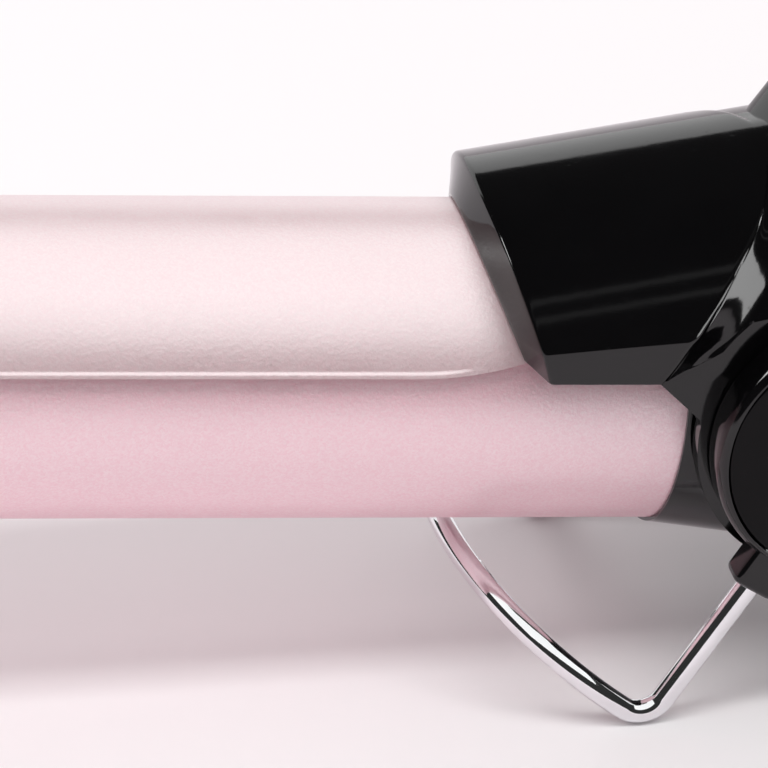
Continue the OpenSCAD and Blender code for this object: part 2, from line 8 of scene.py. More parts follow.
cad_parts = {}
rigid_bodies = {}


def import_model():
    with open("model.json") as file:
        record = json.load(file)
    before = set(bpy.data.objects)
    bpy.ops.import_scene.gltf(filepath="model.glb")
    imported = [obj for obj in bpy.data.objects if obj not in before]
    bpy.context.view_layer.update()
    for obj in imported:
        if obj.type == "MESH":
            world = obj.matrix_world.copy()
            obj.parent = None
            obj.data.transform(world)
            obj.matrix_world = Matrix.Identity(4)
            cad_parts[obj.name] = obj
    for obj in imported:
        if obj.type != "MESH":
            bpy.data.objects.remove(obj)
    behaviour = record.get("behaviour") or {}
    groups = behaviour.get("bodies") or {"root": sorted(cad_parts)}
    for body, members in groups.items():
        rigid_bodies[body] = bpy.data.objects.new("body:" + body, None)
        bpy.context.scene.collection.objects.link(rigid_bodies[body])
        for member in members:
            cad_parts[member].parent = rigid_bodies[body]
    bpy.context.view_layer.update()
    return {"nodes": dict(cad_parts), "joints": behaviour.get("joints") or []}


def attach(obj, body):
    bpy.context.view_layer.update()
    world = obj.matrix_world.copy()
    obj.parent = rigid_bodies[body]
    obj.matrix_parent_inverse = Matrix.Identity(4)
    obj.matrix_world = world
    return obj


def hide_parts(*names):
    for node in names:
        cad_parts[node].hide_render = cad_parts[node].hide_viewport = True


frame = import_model()
print("frame loaded:", len(frame["nodes"]), "nodes")

# places on the iron
joints = {j["name"]: j for j in frame["joints"]}
axisX = np.array(joints["cord_spin"]["axis"], float)      # along the barrel, towards the cord
axisY = np.array([0.0, 1.0, 0.0])
axisZ = np.array([-axisX[2], 0.0, axisX[0]])
neckToGland = 0.168                                       # metres, neck origin to the gland's end
neckPoint = np.array(joints["cord_spin"]["pos_m"], float) - axisX * neckToGland
pivotOffset = np.array(joints["clamp_hinge"]["pos_m"], float) - neckPoint
pivotX, pivotZ = 1000 * pivotOffset @ axisX, 1000 * pivotOffset @ axisZ


def place(points):
    # millimetres along, across and above the barrel's axis, turned to metres in the model's frame
    p = np.asarray(points, float) * 0.001
    return neckPoint + p[..., 0:1] * axisX + p[..., 1:2] * axisY + p[..., 2:3] * axisZ


def aboutPivot(radius, angle, y):
    # a point at a radius and an angle (0 = along the barrel) round the hinge axis
    return np.stack(np.broadcast_arrays(
        pivotX + radius * np.cos(angle), y, pivotZ + radius * np.sin(angle)), axis=-1)


# mesh tools
def gridFaces(rows, columns, closedRows=False, closedColumns=False, first=0):
    # the quads between neighbouring points of a grid, wrapped where it closes on itself
    i = np.arange(rows if closedRows else rows - 1)[:, None]
    j = np.arange(columns if closedColumns else columns - 1)[None, :]
    nextI, nextJ = (i + 1) % rows, (j + 1) % columns
    quads = np.stack([i * columns + j, nextI * columns + j,
                      nextI * columns + nextJ, i * columns + nextJ], axis=-1)
    return quads.reshape(-1, 4) + first


def makeMesh(name, points, *faces):
    # a mesh from points in millimetres and arrays of faces: doubles merge, the faces that a pole
    # squeezes flat go with them, and every face turns outwards
    mesh = bpy.data.meshes.new(name)
    mesh.from_pydata(place(points).reshape(-1, 3).tolist(), [],
                     [face for block in faces for face in np.asarray(block).tolist()])
    edit = bmesh.new()
    edit.from_mesh(mesh)
    bmesh.ops.remove_doubles(edit, verts=edit.verts, dist=2e-7)
    bmesh.ops.recalc_face_normals(edit, faces=edit.faces)
    for face in edit.faces:
        face.smooth = True
    edit.to_mesh(mesh)
    edit.free()
    piece = bpy.data.objects.new(name, mesh)
    bpy.context.scene.collection.objects.link(piece)
    return piece


def finishPiece(piece, body, slot, *nodes, bevel=0.0, angle=40, segments=3, finish=None):
    # rounds the sharp edges, then hands the piece to its body, slot and finish
    if bevel:
        rounding = piece.modifiers.new("edges", "BEVEL")
        rounding.width = bevel * 0.001
        rounding.segments = segments
        rounding.limit_method = "ANGLE"
        rounding.angle_limit = math.radians(angle)
        rounding.harden_normals = True
    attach(piece, body)
    if nodes:
        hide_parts(*nodes)
    piece.data.materials.append(finish or finishes[slot])
    return piece


def markSpot(piece, x):
    # stores how far each point lies along and across the iron from a mark's centre at x
    count = len(piece.data.vertices)
    flat = np.empty(count * 3)
    piece.data.vertices.foreach_get("co", flat)
    away = flat.reshape(-1, 3) - neckPoint
    spot = np.stack([1000 * away @ axisX - x, 1000 * away @ axisY, np.zeros(count)], 1)
    stored = piece.data.attributes.new("spot", "FLOAT_VECTOR", "POINT")
    stored.data.foreach_set("vector", spot.ravel())


shellSharp = 32     # degrees between faces past which a cut edge of a shell stays sharp


def carve(piece, tools):
    # piece minus each closed tool shape; the tools are removed and hard edges stay sharp
    for tool in tools:
        cut = piece.modifiers.new("cut", "BOOLEAN")
        cut.operation, cut.solver, cut.object = "DIFFERENCE", "EXACT", tool
    finished = piece.evaluated_get(bpy.context.evaluated_depsgraph_get())
    solid = bpy.data.meshes.new_from_object(finished)
    piece.modifiers.clear()
    piece.data = solid
    for tool in tools:
        bpy.data.objects.remove(tool)
    solid.set_sharp_from_angle(angle=math.radians(shellSharp))


def roundedProfile(corners, radii, steps=5, closed=True):
    # a polygon whose corners are arcs tangent to their two sides; a short flat is kept by each arc
    corners = np.asarray(corners, float)
    count = len(corners)
    out = []
    for k in range(count):
        here, before, after = corners[k], corners[k - 1], corners[(k + 1) % count]
        r = radii[k] if np.ndim(radii) else radii
        if r <= 0 or (not closed and k in (0, count - 1)):
            out.append(here)
            continue
        toBefore, toAfter = before - here, after - here
        longBefore, longAfter = np.linalg.norm(toBefore), np.linalg.norm(toAfter)
        toBefore, toAfter = toBefore / longBefore, toAfter / longAfter
        half = math.acos(np.clip(toBefore @ toAfter, -1, 1)) / 2
        reach = min(r / math.tan(half), 0.45 * longBefore, 0.45 * longAfter)
        r = reach * math.tan(half)
        toCentre = toBefore + toAfter
        centre = here + toCentre / np.linalg.norm(toCentre) * r / math.sin(half)
        start, end = here + toBefore * reach - centre, here + toAfter * reach - centre
        turn = math.pi - 2 * half
        k1 = np.linspace(0, 1, steps + 1)[:, None]
        bow = (start * np.sin((1 - k1) * turn) + end * np.sin(k1 * turn)) / math.sin(turn)
        flat = min(0.15, 0.3 * (longBefore - reach), 0.3 * (longAfter - reach))
        out.append(here + toBefore * (reach + flat))
        out.extend(centre + bow)
        out.append(here + toAfter * (reach + flat))
    return np.array(out)


def revolve(profile, sides=192, closed=True):
    # a profile of (radius, distance) points turned round the barrel's axis
    profile = np.asarray(profile, float)
    turn = np.linspace(0, 2 * math.pi, sides, endpoint=False)[None, :]
    radius, along = profile[:, 0:1], profile[:, 1:2]
    points = np.stack(np.broadcast_arrays(along, -radius * np.sin(turn), radius * np.cos(turn)), -1)
    return points, gridFaces(len(profile), sides, closedRows=closed, closedColumns=True)


def revolvePivot(profile, side, sides=144, closed=True):
    # a profile of (radius, distance) points turned round the hinge axis, outwards to one side
    profile = np.asarray(profile, float)
    turn = np.linspace(0, 2 * math.pi, sides, endpoint=False)[None, :]
    points = aboutPivot(profile[:, 0:1], turn, side * profile[:, 1:2] + 0 * turn)
    return points, gridFaces(len(profile), sides, closedRows=closed, closedColumns=True)


def joined(*parts):
    # several shapes as one: each part's faces count on from the points before it
    points, faces, first = [], [], 0
    for partPoints, *partFaces in parts:
        flat = np.asarray(partPoints).reshape(-1, 3)
        points.append(flat)
        faces += [np.asarray(block) + first for block in partFaces]
        first += len(flat)
    return np.concatenate(points), *faces


def endCaps(rings, sides):
    # the two flat ends of a tube made of rings with the same number of points
    ring = np.arange(sides)
    return np.stack([ring[::-1], ring + (rings - 1) * sides])


def thickSheet(outer, inner):
    # two sheets of equal grids, joined along all four borders into one closed wall
    rows, columns = outer.shape[:2]
    total = rows * columns
    faces = [gridFaces(rows, columns), gridFaces(rows, columns, first=total)]
    index = np.arange(total).reshape(rows, columns)
    for border in (index[0], index[-1], index[:, 0], index[:, -1]):
        a, b = border[:-1], border[1:]
        faces.append(np.stack([a, b, b + total, a + total], axis=-1))
    return np.concatenate([outer.reshape(-1, 3), inner.reshape(-1, 3)]), np.concatenate(faces)


def smoothMin(a, b, k):
    # the lower of two values, with the corner between them rounded over k
    h = np.clip(0.5 + 0.5 * (b - a) / k, 0, 1)
    return b * (1 - h) + a * h - k * h * (1 - h)


def smoothStep(low, high, value):
    # 0 below low and 1 above high, along 3t^2 - 2t^3 in between
    t = np.clip((value - low) / (high - low), 0, 1)
    return t * t * (3 - 2 * t)


def smoothPath(points, count):
    # a Catmull-Rom curve through the points, evenly spaced in its parameter
    p = np.asarray(points, float)
    p = np.concatenate([2 * p[:1] - p[1:2], p, 2 * p[-1:] - p[-2:-1]])
    s = np.linspace(0, len(p) - 3 - 1e-9, count)
    k = s.astype(int)
    t = (s - k)[:, None]
    a, b, c, d = p[k], p[k + 1], p[k + 2], p[k + 3]
    return 0.5 * (2 * b + (c - a) * t + (2 * a - 5 * b + 4 * c - d) * t ** 2
                  + (3 * b - a - 3 * c + d) * t ** 3)


# shader tools
class Wire:
    # a socket in a sum: each operator adds the Math node that works it out
    def __init__(self, finish, socket):
        self.finish, self.socket = finish, socket

    def maths(self, operation, *values):
        return self.finish.node("ShaderNodeMath", {"operation": operation}, dict(enumerate(values)))

    def __add__(self, other):
        return self.maths("ADD", self, other)

    def __sub__(self, other):
        return self.maths("SUBTRACT", self, other)

    def __rsub__(self, other):
        return self.maths("SUBTRACT", other, self)

    def __mul__(self, other):
        return self.maths("MULTIPLY", self, other)

    def __pow__(self, other):
        return self.maths("POWER", self, other)

    def __rpow__(self, other):
        return self.maths("POWER", other, self)

    def __abs__(self):
        return self.maths("ABSOLUTE", self)

    def orHigher(self, other):
        return self.maths("MAXIMUM", self, other)

    __radd__, __rmul__ = __add__, __mul__


class Finish:
    # the node tree of a new material, or of the world
    def __init__(self, owner, output="ShaderNodeOutputMaterial"):
        owner.use_nodes = True
        self.owner, self.tree = owner, owner.node_tree
        self.tree.nodes.clear()
        self.output = self.tree.nodes.new(output)

    def node(self, kind, settings=None, sockets=None, out=0):
        # one node: its settings first, then the values or links of its sockets
        new = self.tree.nodes.new(kind)
        for key, value in (settings or {}).items():
            setattr(new, key, value)
        for key, value in (sockets or {}).items():
            socket = new.inputs[key]
            if isinstance(value, Wire):
                self.tree.links.new(value.socket, socket)
            else:
                socket.default_value = (*value, 1) if socket.type == "RGBA" else value
        return Wire(self, new.outputs[out])

    def coordinates(self):
        # object coordinates turned to lie along the barrel
        tilt = math.atan2(axisX[2], axisX[0])
        spot = self.node("ShaderNodeTexCoord", out="Object")
        return self.node("ShaderNodeMapping", {"vector_type": "POINT"},
                         {"Vector": spot, "Rotation": (0, tilt, 0)})

    def noise(self, scale, detail, rough):
        # fine or coarse grain in object coordinates, about 0.5 on average
        return self.node("ShaderNodeTexNoise", {"noise_dimensions": "3D"},
                         {"Vector": self.coordinates(), "Scale": scale,
                          "Detail": detail, "Roughness": rough})

    def between(self, value, low, high, toLow=0.0, toHigh=1.0):
        # toLow below low and toHigh above high, on a straight line in between
        return self.node("ShaderNodeMapRange", {"clamp": True},
                         {"Value": value, "From Min": low, "From Max": high,
                          "To Min": toLow, "To Max": toHigh})

    def mixColours(self, amount, first, second):
        # first where amount is 0, second where it is 1
        return self.node("ShaderNodeMix", {"data_type": "RGBA"},
                         {0: amount, 6: first, 7: second}, out=2)

    def spot(self):
        # how far a point lies along and across the iron from its mark's centre, from markSpot
        flat = self.node("ShaderNodeAttribute", {"attribute_name": "spot"}, out="Vector")
        along = self.node("ShaderNodeSeparateXYZ", None, {"Vector": flat})
        return along, Wire(self, along.socket.node.outputs["Y"])

    def bar(self, spot, centre, half, soft=0.02):
        # 1 inside an upright rectangle, 0 outside, over a soft edge
        amount = 1.0
        for axis, middle, reach in zip(spot, centre, half):
            amount = self.between(abs(axis - middle), reach - soft, reach + soft, 1, 0) * amount
        return amount

    def bump(self, height, strength, distance):
        return self.node("ShaderNodeBump", None,
                         {"Height": height, "Strength": strength, "Distance": distance})

    def show(self, shader):
        # puts the finished shader on the owner
        self.tree.links.new(shader.socket, self.output.inputs["Surface"])
        return self.owner

    def surface(self, **sockets):
        # one Principled shader, its socket names given with underscores
        named = {key.replace("_", " "): value for key, value in sockets.items()}
        return self.show(self.node("ShaderNodeBsdfPrincipled", None, named))


def linear(r, g, b):
    # a display colour of 0 to 255 as the shader's linear values
    return tuple(((c / 255 + 0.055) / 1.055) ** 2.4 if c > 10 else c / 255 / 12.92
                 for c in (r, g, b))


# finishes
def ceramicFinish(name, pigment, pearl, share):
    # pearl lacquer: a satin lobe of pale flakes over pink pigment, with a fine sandy grain
    coat = Finish(bpy.data.materials.new(name))
    grain = coat.noise(2300, 2, 0.6)
    flakes = coat.node("ShaderNodeTexVoronoi", {"feature": "F1"},
                       {"Vector": coat.coordinates(), "Scale": 5200.0}, out="Color")
    spark = coat.node("ShaderNodeSeparateColor", None, {"Color": flakes})
    drift = coat.noise(14, 2, 0.5)
    worn = coat.noise(55, 5, 0.62)
    height = coat.bump(grain + worn * 0.25, 0.09, 0.0003)
    rough = coat.between(grain, 0.3, 0.7, 0.34, 0.44) + coat.between(worn, 0.45, 0.75, 0, 0.05)
    tone = coat.mixColours(coat.between(drift, 0.35, 0.65, 0, 0.5), pigment,
                           tuple(c * 0.95 for c in pigment))
    flake = coat.mixColours(coat.between(spark, 0, 1, 0, 0.6), pearl, linear(255, 250, 249))
    body = coat.node("ShaderNodeBsdfPrincipled", None, {
        "Base Color": tone, "Roughness": 0.5, "Specular IOR Level": 0.25, "Normal": height})
    satin = coat.node("ShaderNodeBsdfPrincipled", None, {
        "Base Color": flake, "Metallic": 1.0, "Roughness": rough, "Normal": height})
    amount = coat.between(spark, 0, 1, share - 0.08, share + 0.08) \
        + coat.between(grain, 0.3, 0.7, -0.03, 0.03)
    return coat.show(coat.node("ShaderNodeMixShader", None, {0: amount, 1: body, 2: satin}))


def glossFinish(name, colour, rough=0.07, specular=0.5, lit=None, glow=None):
    # injection-moulded gloss: a little orange peel, hazier where hands rub it
    gloss = Finish(bpy.data.materials.new(name))
    peel = gloss.noise(420, 2, 0.45)
    haze = gloss.noise(45, 4, 0.6)
    dust = gloss.noise(1500, 1, 0.5)
    base = gloss.mixColours(gloss.between(haze, 0.4, 0.75, 0, 0.5), colour,
                            tuple(c * 1.6 + 0.001 for c in colour))
    light = {}
    if lit:
        light = {"Emission_Color": gloss.mixColours(lit(gloss), (0, 0, 0), glow),
                 "Emission_Strength": 1.0}
    return gloss.surface(
        **light, Base_Color=base, IOR=1.5, Specular_IOR_Level=specular,
        Roughness=gloss.between(haze, 0.35, 0.7, rough, rough * 1.8)
        + gloss.between(dust, 0.70, 0.76) * 0.12,
        Normal=gloss.bump(peel, 0.02, 0.0004))


def mattFinish(name, colour, rough, mark=None, ink=None):
    # fine moulded or cast grain, darker in its pits, with a printed mark where there is one
    matt = Finish(bpy.data.materials.new(name))
    grain = matt.noise(900, 3, 0.55)
    broad = matt.noise(60, 3, 0.5)
    base = matt.mixColours(matt.between(grain, 0.3, 0.7), tuple(c * 0.8 for c in colour), colour)
    if mark:
        base = matt.mixColours(mark(matt), base, ink)
    return matt.surface(
        Base_Color=base,
        Roughness=matt.between(broad, 0.3, 0.7, rough * 0.85, min(1, rough * 1.15)),
        Normal=matt.bump(grain, 0.25, 0.0002))


def metalFinish(name, colour, rough, brushed=0.0):
    # polished or brushed metal with faint hairlines and dull spots
    metal = Finish(bpy.data.materials.new(name))
    hairs = metal.noise(900, 4, 0.7)
    dull = metal.noise(120, 4, 0.6)
    base = metal.mixColours(metal.between(dull, 0.35, 0.75, 0, 0.6), colour,
                            tuple(c * 0.82 for c in colour))
    return metal.surface(
        Base_Color=base, Metallic=1.0,
        Roughness=metal.between(dull, 0.3, 0.75, rough, rough * 1.9 + 0.02)
        + metal.between(hairs, 0.3, 0.7, 0, brushed),
        Normal=metal.bump(hairs, 0.02 + brushed * 0.3, 0.0002))


markSize = {"arm": 1.15, "stroke": 0.2, "ring": 1.55}


def minusMark(finish):
    # one bar along the iron
    return finish.bar(finish.spot(), (0, 0), (markSize["arm"], markSize["stroke"]))


def plusMark(finish):
    # the minus bar and one square to it
    upright = finish.bar(finish.spot(), (0, 0), (markSize["stroke"], markSize["arm"]))
    return minusMark(finish).orHigher(upright)


def powerMark(finish):
    # a ring, open at the top, with a short bar in the gap
    x, y = spot = finish.spot()
    reach = (x * x + y * y) ** 0.5
    ring = finish.between(abs(reach - markSize["ring"]), 0.16, 0.2, 1, 0)
    ring = ring * (1 - finish.bar(spot, (0, 1.6), (0.5, 0.9)))
    return ring.orHigher(finish.bar(spot, (0, 1.25), (0.18, 0.75)))


digits = {"wide": 0.95, "tall": 1.75, "thick": 0.17, "gap": 0.24, "degreeAt": (3.55, 1.45),
          "degreeRing": 0.33,
          "signs": ((-5.0, "bc", 1), (-2.0, "abcdefg", 1), (1.0, "abcdef", 1), (5.3, "adef", 0.62))}


def litDigits(finish):
    # seven-segment signs, each segment a bar, then a small degree ring
    x, y = spot = finish.spot()
    wide, tall, gap = digits["wide"], digits["tall"], digits["gap"]
    segments = {"a": (0, tall, 0), "g": (0, 0, 0), "d": (0, -tall, 0), "b": (wide, tall / 2, 1),
                "c": (wide, -tall / 2, 1), "e": (-wide, -tall / 2, 1), "f": (-wide, tall / 2, 1)}
    amount = 0.0
    for centre, used, size in digits["signs"]:
        for key in used:
            sx, sy, upright = segments[key]
            half = (digits["thick"], tall / 2 - gap) if upright else (wide - gap, digits["thick"])
            middle = (centre + sx * size, (sy - tall) * size + tall)
            amount = finish.bar(spot, middle, (half[0] * size, half[1] * size), 0.05) + amount
    dx, dy = x - digits["degreeAt"][0], y - digits["degreeAt"][1]
    reach = (dx ** 2 + dy ** 2) ** 0.5
    return amount + finish.between(abs(reach - digits["degreeRing"]), 0.08, 0.14, 1, 0)


# name, colour, roughness
glossKinds = (
    ("gloss_black", (0.0018, 0.0017, 0.0020), 0.07), ("bezel_black", (0.006, 0.006, 0.007), 0.12),
    ("sensor_glass", linear(190, 92, 30), 0.05), ("board_green", linear(20, 74, 44), 0.2))
mattKinds = (
    ("tip_black", (0.012, 0.012, 0.013), 0.42), ("heatproof_grey", (0.06, 0.06, 0.064), 0.5),
    ("element_film", linear(176, 130, 64), 0.35), ("fuse_white", linear(232, 230, 224), 0.45),
    ("dark_key", (0.02, 0.02, 0.022), 0.38), ("module_white", linear(225, 225, 222), 0.4),
    ("switch_black", (0.02, 0.02, 0.02), 0.45), ("lead_white", linear(228, 226, 220), 0.4),
    ("lead_red", linear(168, 30, 28), 0.4), ("brush_block", linear(214, 206, 186), 0.55))
# name, colour, roughness, how much brushing adds to it
metalKinds = (
    ("heater_aluminium", (0.78, 0.79, 0.80), 0.3, 0.2),
    ("brass_rings", (0.83, 0.64, 0.30), 0.18, 0.05),
    ("spring_steel", (0.50, 0.50, 0.52), 0.25, 0.1), ("steel_screw", (0.62, 0.62, 0.64), 0.22, 0.1),
    ("chrome_wire", (0.90, 0.91, 0.92), 0.035))
finishes = {
    "ceramic_pink": ceramicFinish("ceramic_pink", (0.90, 0.43, 0.51), (0.96, 0.94, 0.95), 0.53),
    "clamp_pink": ceramicFinish("clamp_pink", (0.92, 0.56, 0.59), (0.92, 0.96, 0.965), 0.60),
    "window_dark": glossFinish("window_dark", (0.003, 0.003, 0.004), 0.03,
                               lit=litDigits, glow=(1.0, 0.20, 0.14)),
    "power_key": mattFinish("power_key", linear(206, 206, 208), 0.35,
                            powerMark, linear(60, 60, 66))}
for maker, kinds in ((glossFinish, glossKinds), (mattFinish, mattKinds), (metalFinish, metalKinds)):
    for name, *values in kinds:
        finishes[name] = maker(name, *values)
capFinish = glossFinish("gloss_black_cap", (0.0014, 0.0013, 0.0016), 0.1, specular=0.14)
plusKey, minusKey = (mattFinish(name, (0.02, 0.02, 0.022), 0.38, mark, linear(225, 225, 228))
                     for name, mark in (("dark_key_plus", plusMark), ("dark_key_minus", minusMark)))

# the carried-over nodes take their finish on the object, under their CAD material's name
for node in frame["nodes"].values():
    for slot in node.material_slots:
        if slot.material is not None:
            finish = finishes[slot.material.name.split(".")[0]]
            slot.link, slot.material = "OBJECT", finish
print("finishes:", len(finishes))

# barrel and tip
barrel = {"radius": 16.0, "wall": 0.6, "tip": -150.0, "seat": 12.0, "edge": 0.18}


def barrelTube():
    # a long thin ring: the wall's section with rounded ends, turned round the axis
    r, t = barrel["radius"], barrel["wall"]
    profile = roundedProfile([[r - t, barrel["tip"]], [r, barrel["tip"]],
                              [r, barrel["seat"]], [r - t, barrel["seat"]]], barrel["edge"], 3)
    points, faces = revolve(profile, 256)
    return finishPiece(makeMesh("barrelTube", points, faces), "body", "ceramic_pink", "barrel_tube")


barrelTube()

# clamp plate
plate = {"inner": 16.4, "thick": 0.9, "halfAngle": 66.5, "front": -147.0, "rear": 1.5,
         "corner": 9.0, "flare": 1.4, "flareRun": 7.0, "flarePower": 1.6,
         "climb": (-29.0, -17.0), "climbBend": 85.0, "tabRun": 3.9, "tabRise": (-16.9, -13.2),
         "tabRadius": 18.0, "tabHeight": 14.6,
         "hem": 0.15, "hemRun": (0.32, 0.75), "hemFade": (-27.0, -22.0), "round": 0.26}


def clampPlate():
    # angle = side * half-angle(x), where the long edge's height sets the half-angle at each x;
    # radius = the barrel's plus the gap, flared at the front and raised at the tab,
    # and thicker by the hem along the long edges
    front, corner, thick = plate["front"], plate["corner"], plate["thick"]
    climbFrom, climbTo = plate["climb"]
    bow = 1 - np.cos(np.linspace(0, math.pi / 2, 22))
    x = np.concatenate([front + corner * bow, np.linspace(front + corner, -31, 70)[1:],
                        np.linspace(-31, -17, 29)[1:], np.linspace(-17, -13.1, 20)[1:],
                        np.linspace(-13.1, plate["rear"], 16)[1:]])
    # height of the long edge: a rounded front corner, a straight run, a climb and the tab
    low = (plate["inner"] + thick) * math.cos(math.radians(plate["halfAngle"]))
    quarter = np.sqrt(np.clip(corner ** 2 - (x - front - corner) ** 2, 0, None))
    edge = np.where(x < front + corner, low + corner - quarter, low)
    climb = (np.minimum(x, climbTo) - climbFrom) ** 2 / plate["climbBend"]
    edge = np.where(x > climbFrom, low + climb, edge)
    onTab = np.clip((x - climbTo) / plate["tabRun"], 0, 1)
    edge = np.where(x > climbTo, edge + (plate["tabHeight"] - edge) * onTab, edge)
    flare = np.clip((front + plate["flareRun"] - x) / plate["flareRun"], 0, 1)
    inner = plate["inner"] + plate["flare"] * flare ** plate["flarePower"]
    inner = inner + (plate["tabRadius"] - plate["inner"]) * smoothStep(*plate["tabRise"], x)
    outer = inner + thick
    lean = np.concatenate([np.linspace(0, 0.95, 56), np.linspace(0.95, 0.984, 7)[1:], [1]])
    side = np.concatenate([-lean[:0:-1], lean])[None, :]
    half = np.arccos(np.clip(edge / outer, -1, 1))[:, None]
    angle = side * half
    fromEdge = (1 - abs(side)) * half * outer[:, None]
    hem = plate["hem"] * (1 - smoothStep(*plate["hemRun"], fromEdge))
    hem = hem * (1 - smoothStep(*plate["hemFade"], x))[:, None]

    def sheet(r):
        return np.stack(np.broadcast_arrays(x[:, None], r * np.sin(angle), r * np.cos(angle)), -1)

    points, faces = thickSheet(sheet(outer[:, None] + hem), sheet(inner[:, None]))
    return finishPiece(makeMesh("clampPlate", points, faces), "clamp", "clamp_pink", "clamp_plate",
                       bevel=plate["round"], angle=50, segments=4)


clampPlate()
print("barrel and clamp plate made")

# lever: hood, ears and paddle
hood = {"base": (-20.7, 0.2), "rise": 10.9, "radius": 27.0, "height": 20.75,
        "wallFront": 20.5, "wallRear": 21.3, "low": 8.8, "rimLow": -16.6, "rimLean": 20.0,
        "rearRadius": 21.6, "rearHeight": 20.7, "rearWall": 20.1, "borderRise": 0.45,
        "creaseLow": -5.2, "creaseAngle": 56.0, "creaseBow": 1.5, "creaseBowHeights": (10.0, 21.0),
        "creaseShare": (23.0, 44.0), "fold": 0.24, "foldFrom": (5.0, 14.0),
        "edgeFlat": 0.5, "edgeRound": 0.9, "edgeDrop": 0.16, "edgeRoundDrop": 0.10,
        "shoulder": (9.2, 13.5), "shoulderFade": (14.0, 18.0),
        "slopeRun": (0.7, 6.4), "slopeRatio": 2.8,
        "lipRadius": 17.42, "lipLow": -18.25, "lipLean": 26.0, "lipBack": 2.6,
        "recessFlat": 19.4, "recessRadius": 17.5, "recessTilt": 0.12, "recessWall": 3.0,
        "recessOpen": 5.2, "recessOpenFrom": 36.0, "recessOpenRun": 20.0,
        "earRadius": 15.9, "earInner": 17.3, "earFoot": (0.55, 3.75), "earTurn": (174.4, 391.0),
        "wall": 2.0, "rearX": 20.5, "round": 0.28}
riseCos, riseSin = math.cos(math.radians(hood["rise"])), math.sin(math.radians(hood["rise"]))


def sideLine(height, point, direction):
    # how far along the hood's rising line a slanted line in side view meets a given height
    dx, dz = point[0] - hood["base"][0], point[1] - hood["base"][1]
    along0, height0 = dx * riseCos + dz * riseSin, dz * riseCos - dx * riseSin
    alongStep = direction[0] * riseCos + direction[1] * riseSin
    heightStep = direction[1] * riseCos - direction[0] * riseSin
    return along0 + (height - height0) / heightStep * alongStep


def toRise(x, z):
    # side-view position as distance along the rising line and height square to it
    dx, dz = x - hood["base"][0], z - hood["base"][1]
    return dx * riseCos + dz * riseSin, dz * riseCos - dx * riseSin


def fromRise(along, height):
    # the way back from the rising line to a side-view position
    return (hood["base"][0] + along * riseCos - height * riseSin,
            hood["base"][1] + along * riseSin + height * riseCos)


def recessGap(x, z):
    # how far outside the ear's flat recess a side-view point lies; the recess opens out low down
    reach = np.hypot(x - pivotX, z - pivotZ)
    rise = np.degrees(np.arctan2(z - pivotZ, pivotX - x))
    low = np.clip((hood["recessOpenFrom"] - rise) / hood["recessOpenRun"], 0, 1.2)
    return reach - hood["recessRadius"] - hood["recessOpen"] * low ** 1.6


